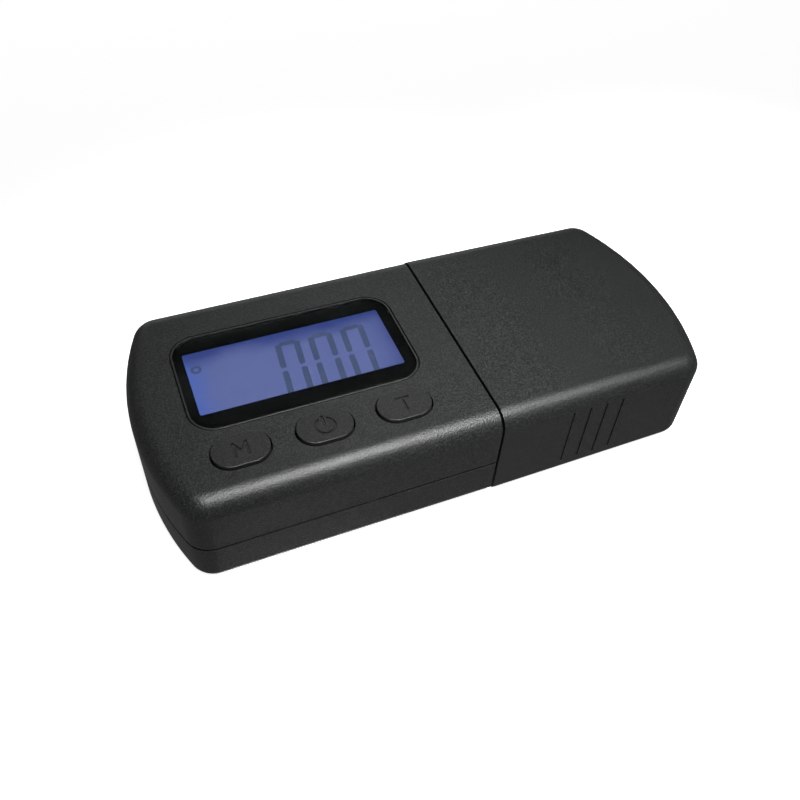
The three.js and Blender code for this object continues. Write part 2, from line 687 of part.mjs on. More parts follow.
// ---- Finishes ----
const finish = (color, roughness, metalness = 0) =>
  new THREE.MeshStandardMaterial({ color, roughness, metalness });
const casePlastic = finish(0x1d1f1f, 0.55);
const keyPlastic = finish(0x202222, 0.6);
const innerPlastic = finish(0x1a1b1c, 0.7);
const lensPlastic = finish(0x0b0f0f, 0.12);
const displayGlass = finish(0x6b79c8, 0.2);
const lightGuide = finish(0x4a5fe0, 0.4);
const whitePlastic = finish(0xd8d8d2, 0.5);
const boardGreen = finish(0x1f5f3a, 0.5);
const blackResin = finish(0x101010, 0.35);
const blackRubber = finish(0x141414, 0.9);
const steel = finish(0xb9bbbd, 0.3, 1);
const nickel = finish(0xc9c6bd, 0.35, 1);
const aluminium = finish(0xbfc2c5, 0.4, 1);
const coating = finish(0xe8e6df, 0.6);
const cellJacket = finish(0x7d8388, 0.35, 0.6);

const gauge = new THREE.Group();

// Each solid becomes one named mesh, at its place in the gauge.
function put(name, solid, material, place = [0, 0, 0], turn = [0, 0, 0]) {
  const mesh = new THREE.Mesh(geometryOf(solid), material);
  mesh.name = name;
  mesh.position.set(...place);
  mesh.rotation.set(...turn);
  gauge.add(mesh);
}

// Case
put("upper_case", upperCase(), casePlastic);
put("lower_case", lowerCase(), casePlastic);
put("sliding_cover", slidingCover(), casePlastic);
put("sensor_cover", sensorCoverShell(), innerPlastic);
put("battery_door", batteryDoor(), casePlastic);
footAt.forEach(([x, y], i) => {
  const pad = post(0, 0, 0, footHeight + foot.pocket - touch, foot.radius, 24);
  put(`foot_${i + 1}`, pad, blackRubber, [x, y, 0]);
});

// Display
put("display_lens", displayLens(), lensPlastic);
put("lens_tape", lensTape(), blackRubber);
put("lcd_panel", lcdPanel(), displayGlass);
put("lcd_frame", lcdFrame(), whitePlastic);
put("zebra_strip", zebraStrip(), blackRubber);
put("backlight_panel", backlightPanel(), lightGuide);
put("backlight_led", backlightLed(), whitePlastic);

// Keys
keyNames.forEach((name, i) => {
  put(`${name}_button`, keyCap(), keyPlastic, [keyX[i], keyY, 0]);
  put(`${name}_switch`, switchBody(), nickel, [keyX[i], keyY, 0]);
  put(`${name}_plunger`, switchPlunger(), blackResin, [keyX[i], keyY, 0]);
});

// Electronics
put("main_board", mainBoard(), boardGreen);
const onBoard = board.top + touch;
put("chip_blob", chipBlob(), blackResin, [chip.x, chip.y, onBoard]);
put("crystal_can", crystalCan(), nickel, [crystal.x, crystal.y, onBoard + crystal.radius]);
put("filter_capacitor", capacitorCan(), aluminium, [capacitor.x, capacitor.y, onBoard]);
boardScrewAt.forEach(([x, y], i) => {
  put(`board_screw_${i + 1}`, panScrew(boardScrew), steel, [x, y, board.bottom - touch]);
});

// Batteries: the first cell's nub points at the cover, the second's points away.
const contactX0 = bay.x0 + contactGap;
const contactX1 = bay.x1 - contactGap;
const nubRoom = contactThick + 0.3;
put("battery_1", aaaCell(), cellJacket, [contactX1 - nubRoom - cell.length, -cell.y, cell.z]);
const turned = [0, 0, Math.PI];
put("battery_2", aaaCell(), cellJacket, [contactX0 + nubRoom + cell.length, cell.y, cell.z], turned);
put("negative_contact", springOn(contactLeaf([0]), 0), nickel, [contactX0, -cell.y, cell.z]);
put("positive_contact", bumpOn(contactLeaf([0]), 0), nickel, [contactX0, cell.y, cell.z]);
const bridge = bumpOn(springOn(contactLeaf([-cell.y, cell.y]), -cell.y), cell.y);
put("bridge_contact", bridge, nickel, [contactX1, 0, cell.z], turned);
caseScrewAt.forEach(([x, y], i) => {
  put(`case_screw_${i + 1}`, panScrew(caseScrew), steel, [x, y, caseBottom + counterbore.depth - touch]);
});

// Weighing parts
put("load_cell", loadCell(), aluminium);
put("cell_spacer", cellSpacer(), aluminium);
put("gauge_coating_top", gaugeCoating(), coating, [0, 0, beam.top + touch]);
put("gauge_coating_bottom", gaugeCoating(), coating, [0, 0, beam.bottom - touch], [Math.PI, 0, 0]);
beamFixedX.forEach((x, i) => {
  put(`cell_screw_${i + 1}`, panScrew(cellScrew), steel, [x, 0, tongueBottom + cellScrew.sunk - touch]);
});
put("overload_stop_screw", stopScrew(), steel, [beamFreeX[0], 0, 0]);
put("weighing_arm", weighingArm(), steel);
beamFreeX.forEach((x, i) => {
  const place = [x, 0, arm.bottom + arm.thick + touch];
  put(`arm_screw_${i + 1}`, panScrew(armScrew), steel, place, [Math.PI, 0, 0]);
});
Object.entries(wireColours).forEach(([name, colour], i) => {
  put(`wire_${name}`, sensorWire(i), finish(colour, 0.5));
});

export default gauge;
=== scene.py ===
import json
import math

import bpy
from mathutils import Matrix, Vector

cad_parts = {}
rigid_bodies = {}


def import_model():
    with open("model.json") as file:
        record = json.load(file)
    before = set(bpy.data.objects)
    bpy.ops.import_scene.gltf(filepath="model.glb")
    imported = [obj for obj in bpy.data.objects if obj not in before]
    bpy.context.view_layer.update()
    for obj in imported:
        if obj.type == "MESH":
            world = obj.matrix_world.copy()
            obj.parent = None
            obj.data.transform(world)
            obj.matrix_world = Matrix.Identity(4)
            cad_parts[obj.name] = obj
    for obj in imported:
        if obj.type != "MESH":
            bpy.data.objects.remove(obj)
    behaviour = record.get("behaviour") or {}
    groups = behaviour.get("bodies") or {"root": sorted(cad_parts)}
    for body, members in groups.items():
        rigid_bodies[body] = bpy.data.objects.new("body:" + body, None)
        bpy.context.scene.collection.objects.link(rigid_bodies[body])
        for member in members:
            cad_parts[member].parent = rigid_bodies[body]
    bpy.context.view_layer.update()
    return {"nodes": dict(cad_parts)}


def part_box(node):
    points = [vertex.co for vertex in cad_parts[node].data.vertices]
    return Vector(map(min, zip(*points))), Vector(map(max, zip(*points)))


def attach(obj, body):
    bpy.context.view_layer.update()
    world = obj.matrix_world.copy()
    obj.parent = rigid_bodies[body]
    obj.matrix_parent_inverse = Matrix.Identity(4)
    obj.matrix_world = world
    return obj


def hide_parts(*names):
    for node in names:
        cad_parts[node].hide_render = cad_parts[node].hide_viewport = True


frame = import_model()
bpy.ops.object.select_all(action="DESELECT")  # loading leaves the frame's nodes selected
for spare in [o for o in bpy.data.objects if o.name in ("Cube", "Light", "Camera")]:
    bpy.data.objects.remove(spare)  # what an empty file starts with

mm = 0.001
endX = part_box("sliding_cover")[1].x / mm  # half the length of the gauge

# The outer form, which the case, its hollow, the spigot and the cover share. Millimetres from here on.
form = {
    "endRadius": 51.4,
    "cornerRadius": 4.5,
    "bowSteps": 48,
    "cornerSteps": 12,
    "topSteps": 12,
    "bottomSteps": 6,
}


# These work on one object at a time.
def mode(name):
    bpy.ops.object.mode_set(mode=name)


def clearPick():
    if bpy.context.object and bpy.context.object.mode != "OBJECT":
        mode("OBJECT")
    bpy.ops.object.select_all(action="DESELECT")


def only(obj):
    clearPick()
    obj.select_set(True)
    bpy.context.view_layer.objects.active = obj


def placed(name):
    bpy.ops.object.transform_apply(location=True, rotation=True, scale=True)
    obj = bpy.context.object
    obj.name = obj.data.name = name
    return obj


def span(middle, width):
    return (middle - width / 2, middle + width / 2)


def block(name, xs, ys, zs):
    clearPick()
    spans = [(s[0] + s[1]) / 2 * mm for s in (xs, ys, zs)]
    sizes = [(s[1] - s[0]) * mm for s in (xs, ys, zs)]
    bpy.ops.mesh.primitive_cube_add(size=1, location=spans, scale=sizes)
    return placed(name)


def rod(name, centre, radius, length, axis="z", sides=48):
    clearPick()
    turn = {"x": (0, math.pi / 2, 0), "y": (math.pi / 2, 0, 0), "z": (0, 0, 0)}[axis]
    bpy.ops.mesh.primitive_cylinder_add(
        vertices=sides, radius=radius * mm, depth=length * mm, location=Vector(centre) * mm, rotation=turn
    )
    return placed(name)


def post(name, x, y, zs, radius, sides=48):
    return rod(name, (x, y, (zs[0] + zs[1]) / 2), radius, zs[1] - zs[0], "z", sides)


def pick(obj, kind, test):
    only(obj)
    mode("EDIT")
    bpy.ops.mesh.select_mode(type=kind)
    bpy.ops.mesh.select_all(action="DESELECT")
    mode("OBJECT")
    points = [v.co / mm for v in obj.data.vertices]
    if kind == "FACE":
        for face in obj.data.polygons:
            face.select = test(face.center / mm, face.normal)
    elif kind == "EDGE":
        for edge in obj.data.edges:
            edge.select = test(points[edge.vertices[0]], points[edge.vertices[1]])
    else:
        for vertex, point in zip(obj.data.vertices, points):
            vertex.select = test(point)
    mode("EDIT")


def soften(obj, test, width, steps):
    pick(obj, "EDGE", test)
    bpy.ops.mesh.bevel(offset=width * mm, segments=steps, affect="EDGES", clamp_overlap=False)
    mode("OBJECT")
    return obj


def near(value, target, slack=0.01):
    return abs(value - target) < slack


def atHeight(z):
    return lambda a, b: near(a.z, z) and near(b.z, z)


def atX(x):
    return lambda a, b: near(a.x, x) and near(b.x, x)


def upright(a, b):
    return near(a.x, b.x) and near(a.y, b.y)


def modify(obj, kind, **settings):
    only(obj)
    bpy.ops.object.modifier_add(type=kind)
    modifier = obj.modifiers[-1]
    for name, value in settings.items():
        setattr(modifier, name, value)
    bpy.ops.object.modifier_apply(modifier=modifier.name)


def combine(obj, tools, how):
    for tool in tools:
        modify(obj, "BOOLEAN", operation=how, solver="EXACT", object=tool)
        bpy.data.objects.remove(tool)
    return obj


def carve(obj, *tools):
    return combine(obj, tools, "DIFFERENCE")


def join(obj, *tools):
    return combine(obj, tools, "UNION")


def copyTo(obj, name, place, flip=False, spin=0.0):
    only(obj)
    bpy.ops.object.duplicate(linked=False)
    twin = bpy.context.object
    twin.rotation_euler = (math.pi if flip else 0, 0, spin)
    twin.location = Vector(place) * mm
    return placed(name)


def keepSide(obj, axis, at, side):
    # Cuts the solid flat and closes it; side 1 keeps what lies above the cut, -1 what lies below.
    only(obj)
    mode("EDIT")
    bpy.ops.mesh.select_all(action="SELECT")
    normal = [float(axis == name) for name in "xyz"]
    bpy.ops.mesh.bisect(
        plane_co=[at * mm * n for n in normal],
        plane_no=normal,
        use_fill=True,
        clear_inner=side > 0,
        clear_outer=side < 0,
        threshold=1e-7,
    )
    mode("OBJECT")
    return obj


def startLine(name, x, y, z):
    clearPick()
    bpy.ops.mesh.primitive_plane_add(size=mm, location=(x * mm, y * mm, z * mm))
    obj = placed(name)
    mode("EDIT")
    bpy.ops.mesh.select_mode(type="VERT")
    bpy.ops.mesh.select_all(action="SELECT")
    bpy.ops.mesh.merge(type="CENTER")
    return obj


def lineBy(x, y, z=0):
    bpy.ops.mesh.extrude_region_move(TRANSFORM_OT_translate={"value": (x * mm, y * mm, z * mm)})


def arcRound(centre, degrees, steps, axis=(0, 0, 1)):
    turn = -math.radians(degrees)
    bpy.ops.mesh.spin(steps=steps, angle=turn, center=Vector(centre) * mm, axis=axis)


def faceOut():
    # Ends an edit with every face of the solid pointing outwards.
    bpy.ops.mesh.select_all(action="SELECT")
    bpy.ops.mesh.normals_make_consistent(inside=False)
    mode("OBJECT")
    return bpy.context.object


def fillLine(height):
    # Closes the line just drawn and pulls the face up into a solid.
    bpy.ops.mesh.select_all(action="SELECT")
    bpy.ops.mesh.remove_doubles(threshold=1e-6)
    bpy.ops.mesh.edge_face_add()
    lineBy(0, 0, height)
    return faceOut()


def planSolid(name, halfWidth, inset, zs):
    # Seen from above: straight sides, bowed ends and rounded corners, all taken in by inset.
    side = halfWidth - inset
    bow = form["endRadius"] - inset
    corner = form["cornerRadius"] - inset
    bowX = endX - form["endRadius"]
    cornerY = side - corner
    cornerX = bowX + math.sqrt((bow - corner) ** 2 - cornerY**2)
    turn = math.degrees(math.asin(cornerY / (bow - corner)))
    bend, flat = form["cornerSteps"], form["bowSteps"]
    z = zs[0]
    low = -math.radians(turn)
    startLine(name, bowX + bow * math.cos(low), bow * math.sin(low), z)
    for half in (1, -1):
        arcRound((half * bowX, 0, z), 2 * turn, flat)
        arcRound((half * cornerX, half * cornerY, z), 90 - turn, bend)
        lineBy(-half * 2 * cornerX, 0)
        arcRound((-half * cornerX, half * cornerY, z), 90 - turn, bend)
    return fillLine(zs[1] - z)


def gaugeForm(name, halfWidth, inset, zs, topRadius, bottomRadius):
    obj = planSolid(name, halfWidth, inset, zs)
    soften(obj, atHeight(zs[1]), topRadius, form["topSteps"])
    soften(obj, atHeight(zs[0]), bottomRadius, form["bottomSteps"])
    return obj


body = {
    "halfWidth": 22.4,
    "bottom": 0.6,
    "top": 20.0,
    "wall": 1.6,
    "end": 5.6,
    "parting": 8.8,
    "partingGap": 0.5,
    "topRadius": 3.4,
    "bottomRadius": 1.6,
}
lip = {"outer": 0.9, "top": 9.6, "gap": 0.3}
spigot = {"halfWidth": 20.6, "inset": 1.9, "bottom": 2.3, "top": 18.25, "wall": 1.3, "end": 9.6}
cavityEnd = body["end"] - body["wall"]
ceiling = body["top"] - body["wall"]
floorLevel = body["bottom"] + body["wall"]
display = {"x": -22.3, "y": 2.8, "width": 40.2, "depth": 22, "corner": 4.6, "gap": 0.2, "floor": 18.75}
window = {"x": -22.3, "y": 3.5, "width": 37.4, "depth": 16}
keyRow = {"x": -22.4, "y": -13.5, "pitch": 13.75, "width": 9.4, "depth": 6.3, "gap": 0.3}
caseScrews = [(-43.2, -18.4), (-43.2, 18.4), (2.6, -18.4), (2.6, 18.4)]
boardScrews = [(-44.4, -14.2), (-44.4, 14.2), (0.8, -14.2), (0.8, 14.2)]
feet = [(-36.4, -17.2), (-36.4, 17.2), (-3.8, -17.2), (-3.8, 17.2)]
tongue = {"start": 1.6, "end": 38, "top": 4.0, "rim": 2.4, "corner": 4}
bay = {
    "start": -46.4,
    "end": 3.6,
    "halfDepth": 11.4,
    "roof": 12.8,
    "roofThick": 0.8,
    "wall": 1.2,
    "slot": 1.2,
}
door = {"start": -45.2, "end": 1.8, "halfDepth": 10.6, "top": 1.8, "gap": 0.3, "hooks": (-10, 10)}
doorGrip = {"count": 4, "first": 3, "pitch": 1.6, "width": 0.6, "halfLength": 5, "depth": 0.3}
loadCell = {"fixedHoles": (13, 16.4), "freeHoles": (31.4, 34.4)}
cover = {"halfWidth": 22.5, "start": 6.0, "bottom": 0.4, "top": 20.15}
draft = {"side": 0.2, "top": 0.5, "bottom": 0.1}
grip = {"count": 4, "first": 19.6, "pitch": 3.35, "width": 0.44, "depth": 0.16, "low": 3.2, "high": 16.6}


def roundedBlock(name, centre, width, depth, zs, corner, steps=10):
    return soften(block(name, span(centre[0], width), span(centre[1], depth), zs), upright, corner, steps)


def stadium(name, centre, width, depth, zs, steps=16):
    x, y = centre
    radius = depth / 2
    reach = width / 2 - radius
    startLine(name, x + reach, y - radius, zs[0])
    for half in (1, -1):
        arcRound((x + half * reach, y, zs[0]), 180, steps)
        lineBy(-half * 2 * reach, 0)
    return fillLine(zs[1] - zs[0])


def slab(name, size, zs, grow=0.0):
    # A rounded slab over the display, as wide and deep as its dictionary says; grow widens it all round.
    at, wide, deep = (display["x"], display["y"]), size["width"] + 2 * grow, size["depth"] + 2 * grow
    return roundedBlock(name, at, wide, deep, zs, size["corner"] + grow, 16)


def pill(name, index, zs, grow=0.0, steps=16):
    # A pill on the row of keys, index steps from the middle one.
    at = (keyRow["x"] + index * keyRow["pitch"], keyRow["y"])
    return stadium(name, at, keyRow["width"] + 2 * grow, keyRow["depth"] + 2 * grow, zs, steps)


def caseHollow():
    wall, side = body["wall"], spigot["halfWidth"] - spigot["wall"]
    zs = (floorLevel, ceiling)
    inner = gaugeForm("hollow", body["halfWidth"], wall, zs, body["topRadius"] - wall, 0.3)
    keepSide(inner, "x", cavityEnd, -1)
    xs = (cavityEnd - 0.5, spigot["end"] - spigot["wall"])
    zs = (spigot["bottom"] + spigot["wall"], spigot["top"] - spigot["wall"])
    return join(inner, block("passage", xs, (-side, side), zs))


def caseOuter(name):
    zs = (body["bottom"], body["top"])
    outer = gaugeForm(name, body["halfWidth"], 0, zs, body["topRadius"], body["bottomRadius"])
    keepSide(outer, "x", body["end"], -1)
    inset, zs = spigot["inset"], (spigot["bottom"], spigot["top"])
    neck = gaugeForm("neck", spigot["halfWidth"] + inset, inset, zs, body["topRadius"] - inset, 0.6)
    keepSide(neck, "x", spigot["end"], -1)
    keepSide(neck, "x", cavityEnd + 0.2, 1)
    # A small lead-in helps the cover start onto the neck.
    soften(neck, atX(spigot["end"]), 0.3, 3)
    return join(outer, neck)


def upperShell():
    shell = caseOuter("upperShell")
    edge = body["parting"] + body["partingGap"] / 2
    keepSide(shell, "z", edge, 1)
    carve(shell, caseHollow())
    stepZs = (body["parting"] - 1, lip["top"] + lip["gap"])
    step = planSolid("step", body["halfWidth"], lip["outer"] - lip["gap"], stepZs)
    carve(shell, keepSide(step, "x", cavityEnd, -1))
    # A thicker frame round the display, with a pocket for the window and a hole to the panel.
    xs, ys = span(display["x"], display["width"] + 1.4), span(display["y"], display["depth"] + 1.4)
    join(shell, block("frameBlock", xs, ys, (17.85, ceiling + 0.2)))
    at = (window["x"], window["y"])
    carve(
        shell,
        slab("pocket", display, (display["floor"], body["top"] + 1), display["gap"]),
        roundedBlock("opening", at, window["width"], window["depth"], (17, body["top"]), 1, 6),
    )
    for index in (-1, 0, 1):
        carve(shell, pill("keyHole", index, (ceiling - 1, body["top"] + 1), keyRow["gap"]))
    for x, y in boardScrews:
        join(shell, post("boss", x, y, (15.5, ceiling + 0.2), 1.5, 24))
        carve(shell, post("pilot", x, y, (15, ceiling - 0.5), 0.9, 16))
    for x, y in caseScrews:
        join(shell, post("boss", x, y, (edge, ceiling + 0.2), 1.9, 24))
        carve(shell, post("pilot", x, y, (body["parting"] - 1, body["parting"] + 7), 1.1, 16))
    return shell


def lowerShell():
    shell = caseOuter("lowerShell")
    edge = body["parting"] - body["partingGap"] / 2
    keepSide(shell, "z", edge, -1)
    carve(shell, caseHollow())
    rim = planSolid("rim", body["halfWidth"], lip["outer"], (body["parting"] - 1, lip["top"]))
    keepSide(rim, "x", cavityEnd, -1)
    carve(rim, planSolid("rimHole", body["halfWidth"], body["wall"], (0, 20)))
    join(shell, rim)
    at, length = ((tongue["start"] + tongue["end"]) / 2, 0), tongue["end"] - tongue["start"]
    wide, brim, wall = 2 * spigot["halfWidth"], tongue["top"] + tongue["rim"], spigot["wall"]
    tray = roundedBlock("tray", at, length, wide, (spigot["bottom"], brim), tongue["corner"])
    soften(tray, atHeight(brim), 0.3, 3)
    soften(tray, atHeight(spigot["bottom"]), 0.4, 4)
    length, wide, corner = length - 2 * wall, wide - 2 * wall, tongue["corner"] - wall
    carve(tray, roundedBlock("well", at, length, wide, (tongue["top"], 20), corner))
    keepSide(tray, "x", spigot["end"] - spigot["wall"] + 0.2, 1)
    join(shell, tray)
    thick, reach = bay["wall"], bay["halfDepth"] + bay["wall"]
    zs = (floorLevel - 0.2, bay["roof"] + bay["roofThick"])
    join(shell, block("outerBay", (bay["start"] - thick, bay["end"] + thick), (-reach, reach), zs))
    room = (-bay["halfDepth"], bay["halfDepth"])
    carve(shell, block("bayRoom", (bay["start"], bay["end"]), room, (floorLevel, bay["roof"])))
    for x in (bay["start"], bay["end"] - bay["slot"]):
        carve(shell, block("tabSlot", (x, x + bay["slot"]), room, (bay["roof"] - 1, bay["roof"] + 2)))
    gap, reach = door["gap"], door["halfDepth"] + door["gap"]
    doorway = (door["start"] - gap, door["end"] + gap)
    carve(
        shell,
        block("doorway", doorway, (-reach, reach), (-1, floorLevel + 0.1)),
        post("fingerNotch", door["start"] - 0.4, 0, (-1, body["bottom"] + 0.7), 3.2, 64),
    )
    for x, y in caseScrews:
        join(shell, post("screwBoss", x, y, (floorLevel - 0.2, edge), 2.7, 32))
        carve(shell, post("counterbore", x, y, (-1, body["bottom"] + 2), 1.9, 48))
        carve(shell, post("screwHole", x, y, (0, 9.8), 1.1, 24))
    for x, y in feet:
        carve(shell, post("footPocket", x, y, (-1, body["bottom"] + 0.4), 2.95, 64))
    for x in loadCell["fixedHoles"]:
        carve(shell, post("headRoom", x, 0, (0, spigot["bottom"] + 1), 1.8, 32))
        carve(shell, post("screwHole", x, 0, (0, 5), 1.2, 24))
    carve(shell, post("stopHole", loadCell["freeHoles"][0], 0, (0, 5), 1.4, 32))
    wireHole = block("wireHole", (spigot["end"] - 2, spigot["end"] + 1), (9.6, 14), (5.4, 7.2))
    carve(shell, soften(wireHole, lambda a, b: near(a.y, b.y) and near(a.z, b.z), 0.6, 4))
    for y in (-15.4, 15.4):
        carve(shell, block("clipSlot", (18.2, 21.8), span(y, 1.8), (0, 5)))
    return shell


def slidingCover():
    low, high, wall, side = cover["bottom"], cover["top"], body["wall"], cover["halfWidth"]
    radius, start = body["topRadius"], cover["start"]
    shell = gaugeForm("slidingCover", side, 0, (low, high), radius, body["bottomRadius"])
    keepSide(shell, "x", start, 1)
    carve(shell, gaugeForm("inner", side, wall, (low + wall, high - wall), radius - wall, 0.3))
    for index in range(grip["count"]):
        xs = span(grip["first"] + index * grip["pitch"], grip["width"])
        for y in (-side, side):
            carve(shell, block("groove", xs, span(y, 2 * grip["depth"]), (grip["low"], grip["high"])))
    soften(shell, atX(start), 0.14, 2)
    return drawnIn(shell)


def drawnIn(shell):
    # A cage round the cover, narrower at the closed end, gives the walls their draft.
    low, high, side = cover["bottom"], cover["top"], cover["halfWidth"]
    size = (endX - cover["start"], 2 * side, high - low)
    middle = Vector((cover["start"] + size[0] / 2, 0, (low + high) / 2))
    clearPick()
    bpy.ops.object.add(type="LATTICE", location=middle * mm)
    cage = bpy.context.object
    cage.scale = Vector(size) * mm
    for way in ("u", "v", "w"):
        setattr(cage.data, "interpolation_type_" + way, "KEY_LINEAR")
    for point in cage.data.points:
        if point.co.x > 0:
            inward = draft["side"] / size[1] * (-1 if point.co.y > 0 else 1)
            upward = (-draft["top"] if point.co.z > 0 else draft["bottom"]) / size[2]
            point.co_deform = point.co + Vector((0, inward, upward))
    modify(shell, "LATTICE", object=cage)
    bpy.data.objects.remove(cage)
    return shell


def batteryDoor():
    low, high, side = body["bottom"], door["top"], door["halfDepth"]
    lid = block("batteryDoor", (door["start"], door["end"]), (-side, side), (low, high))
    soften(lid, upright, 0.35, 3)
    soften(lid, atHeight(low), 0.2, 3)
    claw = floorLevel + 0.3
    for y in door["hooks"]:
        ys = span(y, 1)
        stem = block("stem", (door["end"] - 1, door["end"]), ys, (high - 0.1, claw + 0.8))
        hook = block("hook", (door["end"] - 0.5, door["end"] + 1.5), ys, (claw, claw + 0.8))
        join(stem, soften(hook, lambda a, b: near(a.x, b.x) and a.x > door["end"], 0.15, 2))
        join(lid, stem)
    finger = door["start"] + 0.2
    ys = (-1.6, 1.6)
    latch = block("latch", (finger, finger + 1), ys, (high - 0.1, 3.4))
    join(latch, block("nose", (finger - 0.35, finger + 0.1), ys, (floorLevel, floorLevel + 0.8)))
    join(lid, latch)
    reach, zs = doorGrip["halfLength"], (0, low + doorGrip["depth"])
    for index in range(doorGrip["count"]):
        x = door["start"] + doorGrip["first"] + doorGrip["pitch"] * index
        groove = block("groove", (x, x + doorGrip["width"]), (-reach, reach), zs)
        carve(lid, soften(groove, upright, 0.28, 4))
    return lid


print("case: upper shell")
upper = upperShell()
print("case: lower shell")
lower = lowerShell()
print("case: cover")
sleeve = slidingCover()
print("case: battery door")
lid = batteryDoor()


glass = {"width": 39.4, "depth": 21.2, "corner": 4.2, "low": 19.12, "high": 20.03}
rim = {"width": 40.2, "depth": 22, "corner": 4.6, "low": 19.05, "high": 20.0, "gap": 0.04}
ink = {"low": 19.06, "high": 19.1, "xs": (-40.42, -4.56), "ys": (-4.09, 10.25), "corner": 0.4}
lcd = {
    "x": -22.3,
    "y": 3.5,
    "width": 38.4,
    "depth": 18.4,
    "ledge": 1.8,
    "low": 16.3,
    "joint": 16.9,
    "film": 17.4,
    "high": 17.48,
}
digit = {
    "left": -24.9,
    "pitch": 6.1,
    "width": 4.55,
    "top": 9.4,
    "middle": 2.72,
    "bottom": -3.96,
    "stroke": 1.12,
    "gap": 0.72,
    "lean": 0.09,
    "count": 3,
}
smallRing = {"x": -38.65, "y": 7.7, "outer": 0.95, "inner": 0.44}


def displayPieces():
    lens = slab("displayLens", glass, (glass["low"], glass["high"]))
    frameRing = slab("lensRim", rim, (rim["low"], rim["high"]))
    soften(frameRing, atHeight(rim["high"]), 0.1, 3)
    carve(frameRing, slab("inside", glass, (rim["low"] - 1, rim["high"] + 1), rim["gap"]))
    ringWidth = (rim["width"] - glass["width"]) / 2
    reach = rim["width"] / 2 - ringWidth * 0.7
    deep = rim["depth"] / 2 - ringWidth * 0.7

    def within(point):
        return abs(point.x - display["x"]) < reach and abs(point.y - display["y"]) < deep

    top = atHeight(rim["high"])
    soften(frameRing, lambda a, b: top(a, b) and within(a) and within(b), 0.06, 2)
    printed = slab("lensInk", glass, (ink["low"], ink["high"]))
    clear = block("clear", ink["xs"], ink["ys"], (ink["low"] - 1, ink["high"] + 1))
    carve(printed, soften(clear, upright, ink["corner"], 4))
    return lens, frameRing, printed


def lcdPieces():
    # Two glasses, the upper one shorter along the front, and the lit picture on it.
    x, y, wide, ledge = lcd["x"], lcd["y"], lcd["width"], lcd["ledge"]
    upperAt, upperDepth = (x, y + ledge / 2), lcd["depth"] - ledge
    panel = roundedBlock("lcdPanel", (x, y), wide, lcd["depth"], (lcd["low"], lcd["joint"]), 0.15, 2)
    upperZs = (lcd["joint"] - 0.02, lcd["film"])
    join(panel, roundedBlock("pane", upperAt, wide, upperDepth, upperZs, 0.15, 2))
    filmZs = (lcd["film"] + 0.01, lcd["high"])
    return panel, roundedBlock("lcdPicture", upperAt, wide - 0.8, upperDepth - 0.8, filmZs, 0.2, 2)


def segment(xs, ys):
    z = lcd["high"]
    obj = block("segment", xs, ys, (z + 0.002, z + 0.014))
    return soften(obj, upright, 0.42, 4)


def digitShape():
    # One seven-segment nought, its left edge at x = 0, drawn as six separate bars that lean a little.
    w, t, half = digit["width"], digit["stroke"], digit["gap"] / 2
    top, mid, low = digit["top"], digit["middle"], digit["bottom"]
    bars = []
    for x in (0, w - t):
        bars.append(segment((x, x + t), (mid + half, top - 0.5)))
        bars.append(segment((x, x + t), (low + 0.5, mid - half)))
    inner = (t * 0.75, w - t * 0.75)
    bars.append(segment(inner, (top - t * 0.9, top)))
    bars.append(segment(inner, (low, low + t * 0.9)))
    first = bars.pop(0)
    join(first, *bars)
    for height in (1, -1):
        # Leaning is a sideways move that grows with the distance from the middle bar.
        for line in range(1, 14):
            reach = mid + height * line * 0.5
            pick(first, "VERT", lambda p: height * (p.y - reach) > 0)
            bpy.ops.transform.translate(value=(height * 0.5 * digit["lean"] * mm, 0, 0))
            mode("OBJECT")
    return first


def lcdMarks():
    first = digitShape()
    starts = [digit["left"] + index * digit["pitch"] for index in range(digit["count"])]
    marks = [copyTo(first, "lcdDigit%d" % (i + 1), (x, 0, 0)) for i, x in enumerate(starts)]
    bpy.data.objects.remove(first)
    at = (smallRing["x"], smallRing["y"], lcd["high"] + 0.008)
    ring = rod("lcdRing", at, smallRing["outer"], 0.012)
    carve(ring, rod("hole", at, smallRing["inner"], 1))
    return marks + [ring]


key = {
    "top": 20.5,
    "foot": 17.5,
    "flangeTop": 18.05,
    "flange": 0.9,
    "edge": 0.13,
    "cut": 0.3,
    "line": 0.48,
}


# The lines of each key's mark, drawn through points from the key's middle.
strokes = {
    "mode": [[(-1.05, -1.25), (-1.05, 1.25), (0, -0.55), (1.05, 1.25), (1.05, -1.25)]],
    "power": [[(0, 0.2), (0, 1.85)]],
    "tare": [[(-1, 1.25), (1, 1.25)], [(0, 1.25), (0, -1.25)]],
}
powerRing = {"radius": 1.85, "drop": 0.1, "gap": 1.24, "gapFrom": 0.5}


def strokeBar(start, end, width, zs):
    # A flat bar from one point to another, with its ends rounded.
    a, b = Vector(start), Vector(end)
    length = (b - a).length + width
    middle = (a + b) / 2
    obj = block("stroke", span(0, length), span(0, width), zs)
    soften(obj, upright, width * 0.48, 4)
    obj.rotation_euler.z = math.atan2(b.y - a.y, b.x - a.x)
    obj.location = (middle.x * mm, middle.y * mm, 0)
    only(obj)
    return placed("stroke")


def markCutter(name, x, y):
    zs = (key["top"] - key["cut"], key["top"] + 0.5)
    through = (zs[0] - 1, zs[1] + 1)
    bars = []
    if name == "power":
        at, radius = y - powerRing["drop"], powerRing["radius"]
        ring = post("mark", x, at, zs, radius, 64)
        carve(
            ring,
            post("hole", x, at, through, radius - key["line"], 64),
            block("gap", span(x, powerRing["gap"]), (y + powerRing["gapFrom"], y + 3), through),
        )
        bars.append(ring)
    for stroke in strokes[name]:
        points = [(x + right, y + up) for right, up in stroke]
        bars += [strokeBar(a, b, key["line"], zs) for a, b in zip(points, points[1:])]
    return bars


